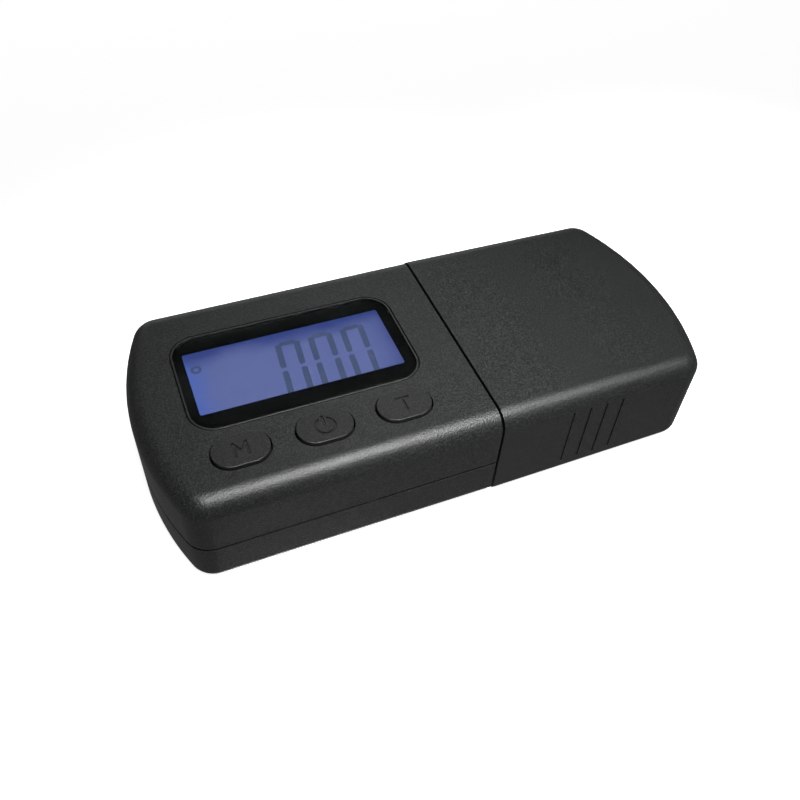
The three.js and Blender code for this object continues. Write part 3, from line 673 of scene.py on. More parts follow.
def keyCap(name, index):
    cap = pill(name + "Key", index, (key["foot"] + 0.2, key["top"]), steps=24)
    soften(cap, atHeight(key["top"]), key["edge"], 4)
    join(cap, pill("flange", index, (key["foot"], key["flangeTop"]), key["flange"]))
    whole, *marks = markCutter(name, keyRow["x"] + index * keyRow["pitch"], keyRow["y"])
    return carve(cap, join(whole, *marks))


print("display: lens, rim and print")
lensPane, lensRim, lensInk = displayPieces()
print("display: panel and digits")
lcdPanel, lcdPicture = lcdPieces()
lcdDigits = lcdMarks()
print("keys")
keyCaps = {name: keyCap(name, index) for index, name in ((-1, "mode"), (0, "power"), (1, "tare"))}


screwSizes = {
    "case": {"head": 1.7, "height": 1.1, "shank": 1.0, "length": 9, "seat": 2.55},
    "board": {"head": 1.4, "height": 0.9, "shank": 0.7, "length": 3.4, "seat": 14.35},
    "cell": {"head": 1.6, "height": 0.9, "shank": 0.9, "length": 6, "seat": 3.25},
    "arm": {"head": 1.4, "height": 0.8, "shank": 0.9, "length": 5, "seat": 11.2},
}


def turnAround(steps):
    # Sweeps the line just drawn once round the upright axis and closes the solid.
    bpy.ops.mesh.select_all(action="SELECT")
    bpy.ops.mesh.spin(steps=steps, angle=math.tau, center=(0, 0, 0), axis=(0, 0, 1))
    bpy.ops.mesh.select_all(action="SELECT")
    bpy.ops.mesh.remove_doubles(threshold=2e-6)
    return faceOut()


def drawThrough(name, points):
    # A line through points given as (distance from the axis, height along it).
    first = points[0]
    startLine(name, first[0], 0, first[1])
    for a, b in zip(points, points[1:]):
        lineBy(b[0] - a[0], 0, b[1] - a[1])


def panScrew(name, size):
    # Head below the origin, thread above it.
    head, height, shank, length = size["head"], size["height"], size["shank"], size["length"]
    points = [(0, -height)]
    for step in range(1, 7):
        angle = math.radians(15 * step)
        points.append((head * math.sin(angle) ** 0.8, -height * math.cos(angle) * 0.8 - 0.08))
    points += [(head, 0), (shank, 0)]
    z = 0.3
    while z < length - 1.1:
        points += [(shank, z), (shank * 0.8, z + 0.2), (shank * 0.8, z + 0.25)]
        z += 0.45
    points += [(shank, length - 0.9), (0.25, length - 0.08), (0, length)]
    drawThrough(name, points)
    screw = turnAround(28)
    # The cross slot is two bars.
    wide, thin = span(0, head * 1.12), span(0, head * 0.28)
    for xs, ys in ((wide, thin), (thin, wide)):
        carve(screw, block("slot", xs, ys, (-height - 1, -height * 0.42)))
    return screw


def screws():
    # The arm's screws go in from above, the others from below.
    made = {}
    spots = {
        "case": caseScrews,
        "board": boardScrews,
        "cell": [(x, 0) for x in loadCell["fixedHoles"]],
        "arm": [(x, 0) for x in loadCell["freeHoles"]],
    }
    for kind, places in spots.items():
        size = screwSizes[kind]
        first = panScrew(kind + "Screw", size)
        for index, (x, y) in enumerate(places):
            label, turn = "%sScrew%d" % (kind, index + 1), 0.5 + 0.9 * index
            twin = copyTo(first, label, (x, y, size["seat"]), kind == "arm", turn)
            made["%s_screw_%d" % (kind, index + 1)] = twin
        bpy.data.objects.remove(first)
    return made


def rubberFeet():
    low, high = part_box("foot_1")
    height = (high.z - low.z) / mm
    radius = (high.x - low.x) / 2 / mm
    first = post("footPad", 0, 0, (0, height), radius, 64)
    soften(first, atHeight(0), 0.22, 4)
    # A shallow dished face with a raised ring round it.
    pick(first, "FACE", lambda c, n: near(c.z, 0) and n.z < -0.9999)
    bpy.ops.mesh.inset(thickness=0.55 * mm)
    bpy.ops.mesh.inset(thickness=0.12 * mm)
    bpy.ops.transform.translate(value=(0, 0, 0.1 * mm))
    mode("OBJECT")
    pads = [copyTo(first, "rubberFoot%d" % (i + 1), (x, y, 0)) for i, (x, y) in enumerate(feet)]
    bpy.data.objects.remove(first)
    return pads


def dryCells():
    # Each cell stands on its flat end while it is drawn, and is then laid along the bay.
    low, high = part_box("battery_1")
    length = (high.x - low.x) / mm
    radius = (high.z - low.z) / 2 / mm
    can = length - 0.8
    flatEnd = [(0, 0.12), (2.6, 0.12), (2.9, 0), (radius - 0.9, 0), (radius - 0.45, 0.1)]
    jacket = [(radius - 0.12, 0.42), (radius, 0.75), (radius, can - 1.0), (radius - 0.1, can - 0.7)]
    shoulder = [(radius - 0.42, can - 0.3), (radius - 0.95, can - 0.12), (radius - 1.25, can - 0.25)]
    nub = [(2.5, can - 0.25), (2.3, can - 0.05), (1.9, can + 0.02), (1.85, length - 0.3)]
    tip = [(1.7, length - 0.08), (1.45, length), (0, length)]
    drawThrough("cellBody", flatEnd + jacket + shoulder + nub + tip)
    first = turnAround(64)
    first.rotation_euler = (0, math.pi / 2, 0)
    only(first)
    placed("cellBody")
    cells = []
    for node, label, spin in (("battery_1", "dryCell1", 0), ("battery_2", "dryCell2", math.pi)):
        a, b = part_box(node)
        start = a.x if spin == 0 else b.x
        place = (start / mm, (a.y + b.y) / 2 / mm, (a.z + b.z) / 2 / mm)
        cells.append(copyTo(first, label, place, False, spin))
    bpy.data.objects.remove(first)
    return cells


sensorCover = {"start": 9.9, "end": 28.6, "halfWidth": 16, "low": 4.05, "top": 13, "wall": 1.2}
beam = {"start": 11, "end": 36, "halfWidth": 4, "low": 5, "top": 10, "holes": (21.2, 26.2), "radius": 1.7}
arm = {
    "start": 29.6,
    "step": 39.9,
    "run": 1.3,
    "end": 47.4,
    "halfWidth": 6,
    "high": 10.75,
    "low": 5.2,
    "thick": 0.8,
    "target": 44.4,
}


def sensorHousing():
    c = sensorCover
    at, length, wide = ((c["start"] + c["end"]) / 2, 0), c["end"] - c["start"], 2 * c["halfWidth"]
    shell = roundedBlock("sensorHousing", at, length, wide, (c["low"] - 3, c["top"]), 2.5, 10)
    soften(shell, atHeight(c["top"]), 1.8, 8)
    # A sunken panel on the roof.
    panel = (c["top"] - 0.25, c["top"] + 1)
    carve(shell, roundedBlock("panel", at, length - 6.5, wide - 6.5, panel, 1.2, 6))
    keepSide(shell, "z", c["low"], 1)
    side = c["halfWidth"] - c["wall"]
    carve(
        shell,
        block("room", (c["start"] - 1, c["end"] - c["wall"]), (-side, side), (-1, c["top"] - c["wall"])),
        block("mouth", (c["end"] - 5, c["end"] + 1), (-4.8, 4.8), (-1, beam["top"] + 1)),
    )
    for end in (-1, 1):
        ys = span(end * (c["halfWidth"] - c["wall"] / 2), 1.2)
        join(shell, block("clip", (18.5, 21.5), ys, (2.6, c["low"] + 1)))
    return shell


def loadBeam():
    b = beam
    side = b["halfWidth"]
    bar = block("loadBeam", (b["start"], b["end"]), (-side, side), (b["low"], b["top"]))
    soften(bar, lambda p, q: True, 0.2, 2)
    middle = (b["low"] + b["top"]) / 2
    for x in b["holes"]:
        carve(bar, rod("hole", (x, 0, middle), b["radius"], 2 * side + 2, "y", 48))
    carve(bar, block("slit", b["holes"], (-side - 1, side + 1), (middle - 0.5, middle + 0.5)))
    for x in loadCell["fixedHoles"] + loadCell["freeHoles"]:
        carve(bar, post("hole", x, 0, (0, 20), 1.2, 32))
    return bar


def weighingArm():
    # A strip drawn edge-on, its two bends rounded, given its thickness, then drilled.
    a = arm
    startLine("weighingArm", a["start"], -a["halfWidth"], a["high"])
    lineBy(0, 2 * a["halfWidth"])
    bpy.ops.mesh.select_all(action="SELECT")
    lineBy(a["step"] - a["start"], 0)
    lineBy(a["run"], 0, a["low"] - a["high"])
    lineBy(a["end"] - a["step"] - a["run"], 0)
    mode("OBJECT")
    strip = bpy.context.object
    soften(strip, lambda p, q: near(p.x, q.x) and a["start"] + 1 < p.x < a["end"] - 1, 0.9, 8)
    pick(strip, "VERT", lambda p: near(p.x, a["start"]) or near(p.x, a["end"]))
    bpy.ops.mesh.bevel(offset=2.4 * mm, segments=8, affect="VERTICES", clamp_overlap=False)
    mode("OBJECT")
    modify(strip, "SOLIDIFY", thickness=a["thick"] * mm, offset=0, use_even_offset=True)
    only(strip)
    mode("EDIT")
    faceOut()
    for x in loadCell["freeHoles"]:
        carve(strip, post("hole", x, 0, (0, 20), 1.2, 32))
    target, face = a["target"], a["low"] + a["thick"] / 2
    ring = post("ring", target, 0, (face - 0.08, face + 1), 2.0, 48)
    carve(ring, post("core", target, 0, (face - 1, face + 2), 1.75, 48))
    carve(strip, ring)
    dimple = post("dimple", target, 0, (face - 0.22, face + 1), 0.5, 32)
    return carve(strip, soften(dimple, atHeight(face - 0.22), 0.18, 4))


def stopScrew():
    low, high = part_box("overload_stop_screw")
    x = (low.x + high.x) / 2 / mm
    screw = post("stopScrew", x, 0, (low.z / mm, high.z / mm), (high.x - low.x) / 2 / mm, 32)
    soften(screw, lambda a, b: near(a.z, b.z) and not upright(a, b), 0.15, 2)
    return carve(screw, block("slot", (x - 3, x + 3), (-0.2, 0.2), (low.z / mm - 1, low.z / mm + 0.5)))


print("feet, screws and cells")
footPads = rubberFeet()
allScrews = screws()
cells = dryCells()
print("weighing parts")
housing = sensorHousing()
bar = loadBeam()
strip = weighingArm()
stop = stopScrew()


def feed(tree, node, inputs):
    for name, value in inputs.items():
        socket = node.inputs[name]
        if isinstance(value, bpy.types.NodeSocket):
            tree.links.new(value, socket)
        else:
            socket.default_value = value


def addNode(tree, kind, inputs=None, **settings):
    node = tree.nodes.new("ShaderNode" + kind)
    for name, value in settings.items():
        setattr(node, name, value)
    feed(tree, node, inputs or {})
    return node


def calc(tree, operation, a, b=0.5, clamp=False):
    node = addNode(tree, "Math", {0: a, 1: b}, operation=operation, use_clamp=clamp)
    return node.outputs[0]


def remap(tree, value, low, high, outLow=0.0, outHigh=1.0):
    inputs = {"Value": value, "From Min": low, "From Max": high, "To Min": outLow, "To Max": outHigh}
    return addNode(tree, "MapRange", inputs).outputs["Result"]


def blendColour(tree, factor, a, b):
    node = addNode(tree, "Mix", data_type="RGBA")
    feed(tree, node, {0: factor, 6: a, 7: b})
    return node.outputs[2]


def noise(tree, place, scale, detail, **more):
    inputs = {"Vector": place, "Scale": scale, "Detail": detail, **more}
    return addNode(tree, "TexNoise", inputs).outputs["Fac"]


def relief(tree, height, depth):
    return addNode(tree, "Bump", {"Strength": 1.0, "Distance": depth * mm, "Height": height}).outputs[0]


def newGroup(name, inputs, outputs):
    group = bpy.data.node_groups.new(name, "ShaderNodeTree")
    for label, kind, default in inputs:
        socket = group.interface.new_socket(name=label, in_out="INPUT", socket_type="NodeSocket" + kind)
        if default is not None:
            socket.default_value = default
    for label in outputs:
        group.interface.new_socket(name=label, in_out="OUTPUT", socket_type="NodeSocketFloat")
    return group, group.nodes.new("NodeGroupInput").outputs, group.nodes.new("NodeGroupOutput")


def sparkGrain():
    # The eroded texture of a mould: soft pits of one size, a finer tooth over them, and paler specks.
    sockets = [("Vector", "Vector", None), ("Grain", "Float", 0.3)]
    group, given, out = newGroup("sparkGrain", sockets, ["Height", "Fleck"])
    place = given["Vector"]
    scale = calc(group, "DIVIDE", 1000.0, given["Grain"])
    cells = addNode(group, "TexVoronoi", {"Vector": place, "Scale": scale}, feature="SMOOTH_F1")
    pits = calc(group, "MULTIPLY", cells.outputs["Distance"], 0.6)
    tooth = noise(group, place, calc(group, "MULTIPLY", scale, 2.3), 2.0)
    speck = noise(group, place, calc(group, "MULTIPLY", scale, 1.25), 1.0)
    feed(group, out, {
        "Height": calc(group, "ADD", pits, calc(group, "MULTIPLY", tooth, 0.7)),
        "Fleck": remap(group, speck, 0.42, 0.7),
    })
    return group


def handling():
    # Slow changes of tone and sheen from handling, and a few fine scratches.
    sockets = [("Vector", "Vector", None), ("Patch", "Float", 25.0)]
    group, given, out = newGroup("handling", sockets, ["Tone", "Smear", "Scratch"])
    place = given["Vector"]
    scale = calc(group, "DIVIDE", 1000.0, given["Patch"])
    tone = noise(group, place, scale, 4.0)
    smear = noise(group, place, calc(group, "MULTIPLY", scale, 3.1), 3.0, Distortion=1.2)
    stretch = {"Vector": place, "Rotation": (0.3, 0.2, 0.7), "Scale": (60, 1500, 900)}
    lines = noise(group, addNode(group, "Mapping", stretch).outputs[0], 1.0, 1.0)
    thin = calc(group, "ABSOLUTE", calc(group, "SUBTRACT", lines, 0.5))
    scratch = remap(group, thin, 0.0, 0.006, 1.0, 0.0)
    feed(group, out, {
        "Tone": remap(group, tone, 0.3, 0.7),
        "Smear": remap(group, smear, 0.3, 0.7),
        "Scratch": calc(group, "MULTIPLY", scratch, remap(group, smear, 0.55, 0.7)),
    })
    return group


def edgeRub():
    # A mask along outer edges, from how far a rounded copy of the normal leans away from the true one.
    sockets = [("Vector", "Vector", None), ("Width", "Float", 0.3 * mm)]
    group, given, out = newGroup("edgeRub", sockets, ["Edge"])
    rounded = addNode(group, "Bevel", {"Radius": given["Width"]}, samples=4).outputs[0]
    straight = addNode(group, "NewGeometry").outputs["Normal"]
    dot = addNode(group, "VectorMath", {0: rounded, 1: straight}, operation="DOT_PRODUCT")
    lean = dot.outputs["Value"]
    broken = remap(group, noise(group, given["Vector"], 700.0, 3.0), 0.35, 0.6)
    feed(group, out, {"Edge": calc(group, "MULTIPLY", remap(group, lean, 0.985, 0.85), broken)})
    return group


def paintedGapShade():
    # How open a spot is: 0 deep in a gap, 1 out on a face; the finishes use it to paint shade into gaps
    # and crevices.
    group, given, out = newGroup("paintedGapShade", [("Reach", "Float", 1.2 * mm)], ["Open"])
    airy = addNode(group, "AmbientOcclusion", {"Distance": given["Reach"]}, samples=6).outputs["AO"]
    feed(group, out, {"Open": remap(group, airy, 0.5, 0.82)})
    return group


groups = {
    "sparkGrain": sparkGrain(),
    "handling": handling(),
    "edgeRub": edgeRub(),
    "paintedGapShade": paintedGapShade(),
}


def startMaterial(name):
    material = bpy.data.materials.new(name)
    material.use_nodes = True
    tree = material.node_tree
    return material, tree, tree.nodes["Principled BSDF"], addNode(tree, "TexCoord").outputs["Object"]


def useGroup(tree, name, inputs):
    node = tree.nodes.new("ShaderNodeGroup")
    node.node_tree = groups[name]
    feed(tree, node, inputs)
    return node.outputs


def shade(colour, factor):
    return tuple(min(c * factor, 1.0) for c in colour[:3]) + (1.0,)


def moulded(name, colour, rough=0.5, grain=0.3, depth=0.02, patch=25.0, rub=1.5, specular=0.5):
    # Moulded plastic or rubber: grain, slow tone changes, rubbed edges, a few scratches, and painted
    # shade that darkens gaps and crevices.
    material, tree, shader, place = startMaterial(name)
    texture = useGroup(tree, "sparkGrain", {"Vector": place, "Grain": grain})
    use = useGroup(tree, "handling", {"Vector": place, "Patch": patch})
    edge = useGroup(tree, "edgeRub", {"Vector": place, "Width": 0.25 * mm})["Edge"]
    # How open each spot is sets the painted shade in gaps and crevices.
    clear = useGroup(tree, "paintedGapShade", {"Reach": 1.1 * mm})["Open"]
    base = blendColour(tree, use["Tone"], shade(colour, 0.88), shade(colour, 1.14))
    flecked = blendColour(tree, texture["Fleck"], shade(colour, 0.5), shade(colour, 2.3))
    tint = blendColour(tree, 0.85, base, flecked)
    tint = blendColour(tree, calc(tree, "MULTIPLY", edge, 0.5), tint, shade(colour, rub))
    tint = blendColour(tree, calc(tree, "MULTIPLY", use["Scratch"], 0.25), tint, shade(colour, 2.2))
    sheen = remap(tree, use["Smear"], 0.0, 1.0, rough - 0.015, rough + 0.02)
    sheen = calc(tree, "SUBTRACT", sheen, calc(tree, "MULTIPLY", edge, 0.12))
    # Painted shade: deep in a gap the colour drops to a twentieth of its own and the surface turns rough.
    feed(tree, shader, {
        "Base Color": blendColour(tree, clear, shade(colour, 0.05), tint),
        "Roughness": remap(tree, clear, 0.0, 1.0, 0.9, sheen),
        "Normal": relief(tree, texture["Height"], depth),
        "Specular IOR Level": specular,
    })
    return material


def inkFinish(name, colour, rough):
    material, tree, shader, place = startMaterial(name)
    use = useGroup(tree, "handling", {"Vector": place, "Patch": 8.0})
    feed(tree, shader, {
        "Base Color": blendColour(tree, use["Tone"], shade(colour, 0.8), shade(colour, 1.25)),
        "Roughness": remap(tree, use["Smear"], 0.0, 1.0, rough, rough + 0.08),
        "Normal": relief(tree, noise(tree, place, 9000.0, 1.0), 0.002),
    })
    return material


def clearPane(name):
    material, tree, shader, place = startMaterial(name)
    use = useGroup(tree, "handling", {"Vector": place, "Patch": 12.0})
    smear = remap(tree, use["Smear"], 0.45, 1.0, 0.02, 0.07)
    feed(tree, shader, {
        "Base Color": blendColour(tree, use["Tone"], (0.93, 0.96, 0.95, 1), (0.97, 0.98, 0.98, 1)),
        "Roughness": calc(tree, "ADD", smear, calc(tree, "MULTIPLY", use["Scratch"], 0.12)),
        "Normal": relief(tree, noise(tree, place, 90.0, 2.0), 0.01),
        "Transmission Weight": 1.0,
        "IOR": 1.49,
    })
    return material


def lcdLight(name, dim=None):
    # The backlit film: deep blue round its edges, greyer in the middle, with a painted shadow of the
    # bezel darkening it along the back edge; marks are the same, dimmed.
    material, tree, shader, place = startMaterial(name)
    split = addNode(tree, "SeparateXYZ", {0: place}).outputs
    left, right = (lcd["x"] - lcd["width"] / 2) * mm, (lcd["x"] + lcd["width"] / 2) * mm
    back = (lcd["y"] + lcd["depth"] / 2) * mm
    cloud = noise(tree, place, 160.0, 2.0)
    wander = remap(tree, cloud, 0.3, 0.7, -0.0008, 0.0008)
    moved = calc(tree, "ADD", split["X"], wander)
    nearLeft = remap(tree, moved, left + 0.0012, left + 0.0055, 1.0, 0.0)
    nearRight = remap(tree, moved, right - 0.0065, right - 0.0004, 0.0, 1.0)
    # Painted shadow of the bezel: the glow deepens towards the back edge.
    paintedBezelShadow = remap(tree, calc(tree, "ADD", split["Y"], wander), back - 0.0052, back - 0.0012, 0.0, 1.0)
    # The deepest blue takes the stronger of the painted bezel shadow at the back and the darkening
    # towards the right edge.
    deepest = calc(tree, "MAXIMUM", calc(tree, "MULTIPLY", nearRight, 0.7), paintedBezelShadow)
    glow = blendColour(tree, nearLeft, (0.112, 0.147, 0.365, 1), (0.076, 0.133, 0.47, 1))
    glow = blendColour(tree, calc(tree, "POWER", deepest, 1.2), glow, (0.032, 0.054, 0.225, 1))
    weave = noise(tree, place, 2500.0, 1.0)
    glow = blendColour(tree, remap(tree, weave, 0.3, 0.7, 0.0, 0.05), glow, (0.2, 0.2, 0.5, 1))
    if dim:
        glow = blendColour(tree, dim, glow, (0.052, 0.076, 0.15, 1))
    feed(tree, shader, {
        "Base Color": (0.02, 0.02, 0.03, 1),
        "Roughness": remap(tree, cloud, 0.3, 0.7, 0.3, 0.4),
        "Normal": relief(tree, weave, 0.002),
        "Emission Color": glow,
        "Emission Strength": 1.0,
    })
    return material


def metal(name, colour, rough=0.3, brush=(40, 1200, 1200), depth=0.003):
    material, tree, shader, place = startMaterial(name)
    use = useGroup(tree, "handling", {"Vector": place, "Patch": 6.0})
    edge = useGroup(tree, "edgeRub", {"Vector": place, "Width": 0.15 * mm})["Edge"]
    stretch = addNode(tree, "Mapping", {"Vector": place, "Scale": brush}).outputs[0]
    lines = noise(tree, stretch, 4.0, 3.0)
    base = blendColour(tree, use["Tone"], shade(colour, 0.82), shade(colour, 1.08))
    base = blendColour(tree, calc(tree, "MULTIPLY", use["Scratch"], 0.4), base, shade(colour, 1.3))
    sheen = remap(tree, lines, 0.3, 0.7, rough - 0.07, rough + 0.09)
    feed(tree, shader, {
        "Base Color": blendColour(tree, calc(tree, "MULTIPLY", edge, 0.4), base, shade(colour, 1.25)),
        "Roughness": calc(tree, "ADD", sheen, calc(tree, "MULTIPLY", use["Smear"], 0.08)),
        "Metallic": 1.0,
        "Normal": relief(tree, lines, depth),
    })
    return material


def boardFinish(name):
    # Green solder mask over copper tracks, with tinned pads.
    material, tree, shader, place = startMaterial(name)
    use = useGroup(tree, "handling", {"Vector": place, "Patch": 10.0})
    grid = {"Vector": place, "Scale": 260.0, "Mortar Size": 0.06, "Mortar": (1, 1, 1, 1)}
    tones = {"Color1": (0, 0, 0, 1), "Color2": (0.2, 0.2, 0.2, 1)}
    tracks = addNode(tree, "TexBrick", {**grid, **tones}).outputs["Color"]
    dots = addNode(tree, "TexVoronoi", {"Vector": place, "Scale": 320.0, "Randomness": 0.4})
    pad = remap(tree, dots.outputs["Distance"], 0.2, 0.16, 0.0, 1.0)
    green = blendColour(tree, use["Tone"], (0.008, 0.06, 0.026, 1), (0.012, 0.08, 0.034, 1))
    green = blendColour(tree, calc(tree, "MULTIPLY", tracks, 0.7), green, (0.03, 0.17, 0.06, 1))
    feed(tree, shader, {
        "Base Color": blendColour(tree, pad, green, (0.62, 0.6, 0.55, 1)),
        "Metallic": pad,
        "Roughness": remap(tree, use["Smear"], 0.0, 1.0, 0.28, 0.4),
        "Normal": relief(tree, calc(tree, "ADD", tracks, pad), 0.02),
    })
    return material


cellPrint = {"bare": 1.9, "band": 13.0, "line": 13.6, "lineHalf": 0.3, "end": 0.8}


def cellFinish(name, node, plusEnd):
    # A printed sleeve: one broad band by the nub, a hairline, and a dark band over the rest.
    material, tree, shader, place = startMaterial(name)
    low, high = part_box(node)
    tip = high.x if plusEnd > 0 else low.x
    length = (high.x - low.x) / mm
    centred = addNode(tree, "Mapping", {"Vector": place, "Location": (-tip, 0, 0)}).outputs[0]
    along = addNode(tree, "SeparateXYZ", {0: centred}).outputs["X"]
    depth = calc(tree, "MULTIPLY", along, -1000.0 * plusEnd)
    use = useGroup(tree, "handling", {"Vector": place, "Patch": 9.0})
    pastNub = calc(tree, "GREATER_THAN", depth, cellPrint["bare"])
    sleeve = calc(tree, "MULTIPLY", pastNub, calc(tree, "LESS_THAN", depth, length - cellPrint["end"]))
    dark = blendColour(tree, use["Tone"], (0.012, 0.014, 0.017, 1), (0.02, 0.022, 0.026, 1))
    band = blendColour(tree, use["Tone"], (0.5, 0.2, 0.075, 1), (0.62, 0.27, 0.1, 1))
    printed = blendColour(tree, calc(tree, "LESS_THAN", depth, cellPrint["band"]), dark, band)
    offLine = calc(tree, "ABSOLUTE", calc(tree, "SUBTRACT", depth, cellPrint["line"]))
    line = calc(tree, "LESS_THAN", offLine, cellPrint["lineHalf"])
    printed = blendColour(tree, line, printed, (0.75, 0.74, 0.7, 1))
    bare = blendColour(tree, use["Smear"], (0.5, 0.5, 0.49, 1), (0.68, 0.67, 0.65, 1))
    feed(tree, shader, {
        "Base Color": blendColour(tree, sleeve, bare, printed),
        "Metallic": remap(tree, sleeve, 0.0, 1.0, 1.0, 0.55),
        "Roughness": remap(tree, use["Smear"], 0.0, 1.0, 0.26, 0.36),
        "Normal": relief(tree, noise(tree, place, 2600.0, 2.0), 0.004),
    })
    return material


print("finishes")
# Each finish is made by a function, from the values after it.
recipes = {
    "casePlastic": (moulded, (0.018, 0.02, 0.0188), 0.37, 0.29, 0.06),
    "innerPlastic": (moulded, (0.01, 0.0105, 0.011), 0.5, 0.2, 0.01),
    "keyPlastic": (moulded, (0.0175, 0.018, 0.018), 0.37, 0.27, 0.045),
    "lensInk": (inkFinish, (0.002, 0.0032, 0.0029), 0.3),
    "clearPane": (clearPane,),
    "lcdLight": (lcdLight,),
    "lcdMark": (lcdLight, 0.86),
    "rubber": (moulded, (0.012, 0.012, 0.012), 0.75, 0.22, 0.015, 6.0, 1.8, 0.3),
    "whitePlastic": (moulded, (0.62, 0.62, 0.59), 0.42, 0.3, 0.008, 10.0, 1.05),
    "lightGuide": (moulded, (0.1, 0.14, 0.7), 0.25, 0.5, 0.01, 8.0, 1.2),
    "blackResin": (moulded, (0.008, 0.008, 0.009), 0.28, 0.6, 0.02, 5.0, 1.4),
    "boardGreen": (boardFinish,),
    "steel": (metal, (0.6, 0.61, 0.62), 0.36),
    "armSteel": (metal, (0.68, 0.685, 0.69), 0.42, (60, 2600, 300), 0.0004),
    "nickel": (metal, (0.6, 0.58, 0.53), 0.3),
    "aluminium": (metal, (0.55, 0.56, 0.57), 0.36, (70, 1500, 1500), 0.003),
    "coating": (moulded, (0.68, 0.66, 0.6), 0.35, 0.7, 0.03, 4.0, 1.02),
    "dryCell1": (cellFinish, "battery_1", 1),
    "dryCell2": (cellFinish, "battery_2", -1),
    "wireRed": (moulded, (0.42, 0.02, 0.012), 0.4, 0.25, 0.008, 5.0, 1.2),
    "wireBlack": (moulded, (0.011, 0.011, 0.011), 0.4, 0.25, 0.008, 5.0, 1.5),
    "wireWhite": (moulded, (0.66, 0.66, 0.62), 0.4, 0.25, 0.008, 5.0, 1.05),
    "wireGreen": (moulded, (0.02, 0.23, 0.04), 0.4, 0.25, 0.008, 5.0, 1.2),
}
finishes = {name: make(name, *values) for name, (make, *values) in recipes.items()}


def finishPiece(obj, material, bodyName, slot, *nodes):
    only(obj)
    obj.data.materials.clear()
    obj.data.materials.append(finishes[material])
    bpy.ops.object.shade_smooth_by_angle(angle=math.radians(32))
    modify(obj, "WEIGHTED_NORMAL", keep_sharp=True)
    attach(obj, bodyName)
    if nodes:
        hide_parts(*nodes)


dressed = [
    (upper, "casePlastic", "case", "case_plastic", "upper_case"),
    (lower, "casePlastic", "case", "case_plastic", "lower_case"),
    (sleeve, "casePlastic", "cover", "case_plastic", "sliding_cover"),
    (lid, "casePlastic", "door", "case_plastic", "battery_door"),
    (lensPane, "clearPane", "case", "lens", "display_lens"),
    (lensRim, "casePlastic", "case", "case_plastic"),
    (lensInk, "lensInk", "case", "lens"),
    (lcdPanel, "lensInk", "case", "lcd", "lcd_panel"),
    (lcdPicture, "lcdLight", "case", "lcd"),
    (housing, "innerPlastic", "case", "inner_plastic", "sensor_cover"),
    (bar, "aluminium", "case", "aluminium", "load_cell"),
    (strip, "armSteel", "arm", "steel", "weighing_arm"),
    (stop, "steel", "case", "steel", "overload_stop_screw"),
]
dressed += [(mark, "lcdMark", "case", "lcd") for mark in lcdDigits]
for name, cap in keyCaps.items():
    dressed.append((cap, "keyPlastic", name + "_key", "key_plastic", name + "_button"))
for index, pad in enumerate(footPads):
    dressed.append((pad, "rubber", "case", "rubber", "foot_%d" % (index + 1)))
for node, screw in allScrews.items():
    dressed.append((screw, "steel", "arm" if node.startswith("arm") else "case", "steel", node))
for index, cellBody in enumerate(cells):
    number = str(index + 1)
    dressed.append((cellBody, "dryCell" + number, "case", "cell_jacket", "battery_" + number))
for piece in dressed:
    finishPiece(*piece)

# What stays as the frame has it takes a finish of its own.
kept = {
    "rubber": ["lens_tape", "zebra_strip"],
    "whitePlastic": ["lcd_frame", "backlight_led"],
    "lightGuide": ["backlight_panel"],
    "nickel": [
        "mode_switch",
        "power_switch",
        "tare_switch",
        "crystal_can",
        "negative_contact",
        "positive_contact",
        "bridge_contact",
    ],
    "blackResin": ["mode_plunger", "power_plunger", "tare_plunger", "chip_blob"],
    "boardGreen": ["main_board"],
    "aluminium": ["filter_capacitor", "cell_spacer"],
    "coating": ["gauge_coating_top", "gauge_coating_bottom"],
    "wireRed": ["wire_red"],
    "wireBlack": ["wire_black"],
    "wireWhite": ["wire_white"],
    "wireGreen": ["wire_green"],
}
for finish, names in kept.items():
    for name in names:
        slots = frame["nodes"][name].data.materials
        slots.clear()
        slots.append(finishes[finish])

view = {
    "azimuth": -25.552,
    "elevation": 46.314,
    "roll": 4.358,
    "distance": 157.565,
    "target": (-1.392, 3.278, 10),
    "lens": 37.471,
    "shift": (-0.0037, -0.0416),
}


def addCamera():
    azimuth, elevation, roll = (math.radians(view[k]) for k in ("azimuth", "elevation", "roll"))
    level = math.cos(elevation)
    back = Vector((math.sin(azimuth) * level, -math.cos(azimuth) * level, math.sin(elevation)))
    across = Vector((0, 0, 1)).cross(back).normalized()
    upward = back.cross(across)
    right = math.cos(roll) * across + math.sin(roll) * upward
    above = -math.sin(roll) * across + math.cos(roll) * upward
    bpy.ops.object.camera_add()
    camera = bpy.context.object
    turn = Matrix((right, above, back)).transposed().to_4x4()
    place = (Vector(view["target"]) + back * view["distance"]) * mm
    camera.matrix_world = Matrix.Translation(place) @ turn
    camera.data.lens = view["lens"]
    camera.data.sensor_width = 36
    camera.data.shift_x, camera.data.shift_y = view["shift"]
    camera.data.clip_start = 0.01
    bpy.context.scene.camera = camera


stage = {"glow": 0.94, "bounce": 0.18, "near": 0.05, "far": 0.2, "world": 0.014}
# The second lamp falls beyond the gauge at rest, on the cover once it is pulled off.
lamps = [
    {"place": (0.02, -0.1, 0.3), "aim": (0, -0.014, 0.02), "cone": 25, "power": 13.0},
    {"place": (0.1, -0.12, 0.3), "aim": (0.097, 0, 0.01), "cone": 14, "power": 13.0},
]
# Each soft box has a place, a size and a power.
softBoxes = [
    ((0.06, 0.5, 0.1), (0.5, 0.1), 0.25),
    ((0.03, 0.04, -0.5), (0.15, 0.15), 1.5),
]


def pointAt(light, aim):
    light.rotation_euler = (Vector(aim) - light.location).to_track_quat("-Z", "Y").to_euler()


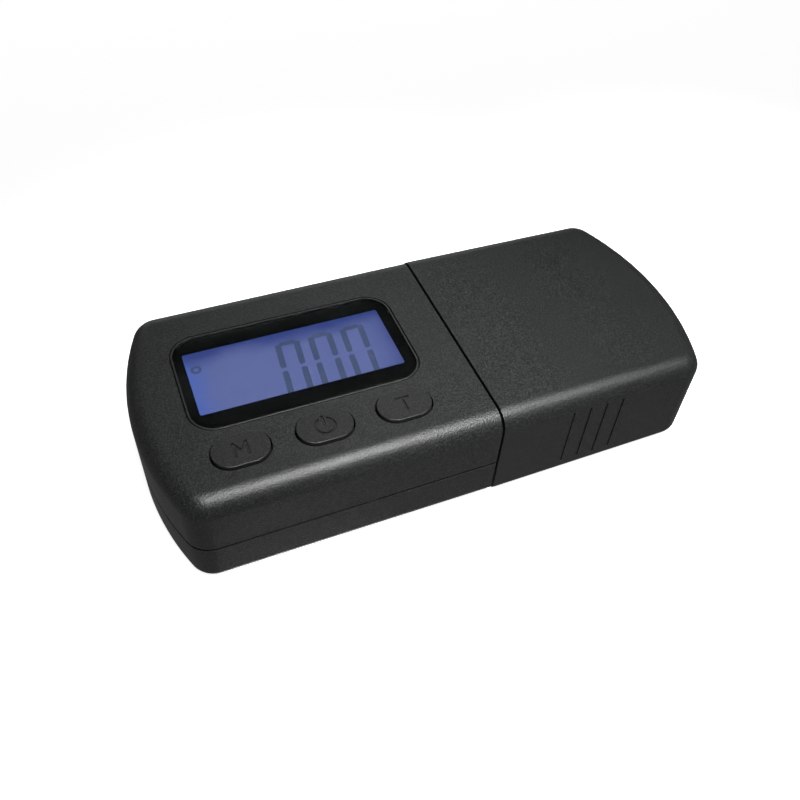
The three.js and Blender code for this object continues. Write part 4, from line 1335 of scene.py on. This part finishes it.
def softBox(place, size, power):
    bpy.ops.object.light_add(type="AREA", location=place)
    light = bpy.context.object
    light.data.shape = "RECTANGLE"
    light.data.size, light.data.size_y = size
    light.data.energy = power
    pointAt(light, (0, 0, 0.01))


def poolOfLight(lamp):
    # A soft-edged pool of light, brightest in its middle.
    bpy.ops.object.light_add(type="SPOT", location=lamp["place"])
    light = bpy.context.object
    light.data.energy = lamp["power"]
    light.data.shadow_soft_size = 0.06
    light.data.spot_size = math.radians(lamp["cone"])
    light.data.spot_blend = 1.0
    pointAt(light, lamp["aim"])


def addFloor():
    clearPick()
    bpy.ops.mesh.primitive_plane_add(size=6)
    floor = placed("floor")
    material, tree, shader, place = startMaterial("paleFloor")
    tone = noise(tree, place, 12.0, 3.0)
    feed(tree, shader, {
        "Base Color": blendColour(tree, tone, (0.88, 0.88, 0.88, 1), (0.9, 0.9, 0.9, 1)),
        "Roughness": 0.9,
        "Specular IOR Level": 0.1,
        "Emission Color": (1, 1, 1, 1),
        "Emission Strength": stage["glow"],
    })
    # What the floor throws back at the gauge is softer than what is seen of it.
    away = addNode(tree, "VectorMath", {0: place}, operation="LENGTH").outputs["Value"]
    fade = remap(tree, away, stage["near"], stage["far"], 1.0, 0.0)
    light = stage["bounce"]
    quiet = addNode(tree, "Emission", {
        "Color": blendColour(tree, fade, (0, 0, 0, 1), (light, light, light, 1)),
        "Strength": 1.0,
    })
    path = addNode(tree, "LightPath").outputs
    seen = {0: path["Is Camera Ray"], 1: quiet.outputs[0], 2: shader.outputs[0]}
    mix = addNode(tree, "MixShader", seen)
    # It is clear from below, and lets the lamp under it through.
    behind = addNode(tree, "NewGeometry").outputs["Backfacing"]
    below = calc(tree, "MAXIMUM", behind, path["Is Shadow Ray"])
    through = addNode(tree, "BsdfTransparent")
    oneSided = addNode(tree, "MixShader", {0: below, 1: mix.outputs[0], 2: through.outputs[0]})
    tree.links.new(oneSided.outputs[0], tree.nodes["Material Output"].inputs["Surface"])
    floor.data.materials.append(material)


def addWorld():
    world = bpy.data.worlds.new("studio")
    bpy.context.scene.world = world
    world.use_nodes = True
    tree = world.node_tree
    seen = addNode(tree, "LightPath").outputs["Is Camera Ray"]
    feed(tree, tree.nodes["Background"], {
        "Color": (1, 1, 1, 1),
        "Strength": remap(tree, seen, 0.0, 1.0, stage["world"], 0.95),
    })


print("camera, lights and floor")
clearPick()
addCamera()
addWorld()
addFloor()
for lamp in lamps:
    poolOfLight(lamp)
for box in softBoxes:
    softBox(*box)
bpy.context.scene.view_settings.view_transform = "Standard"
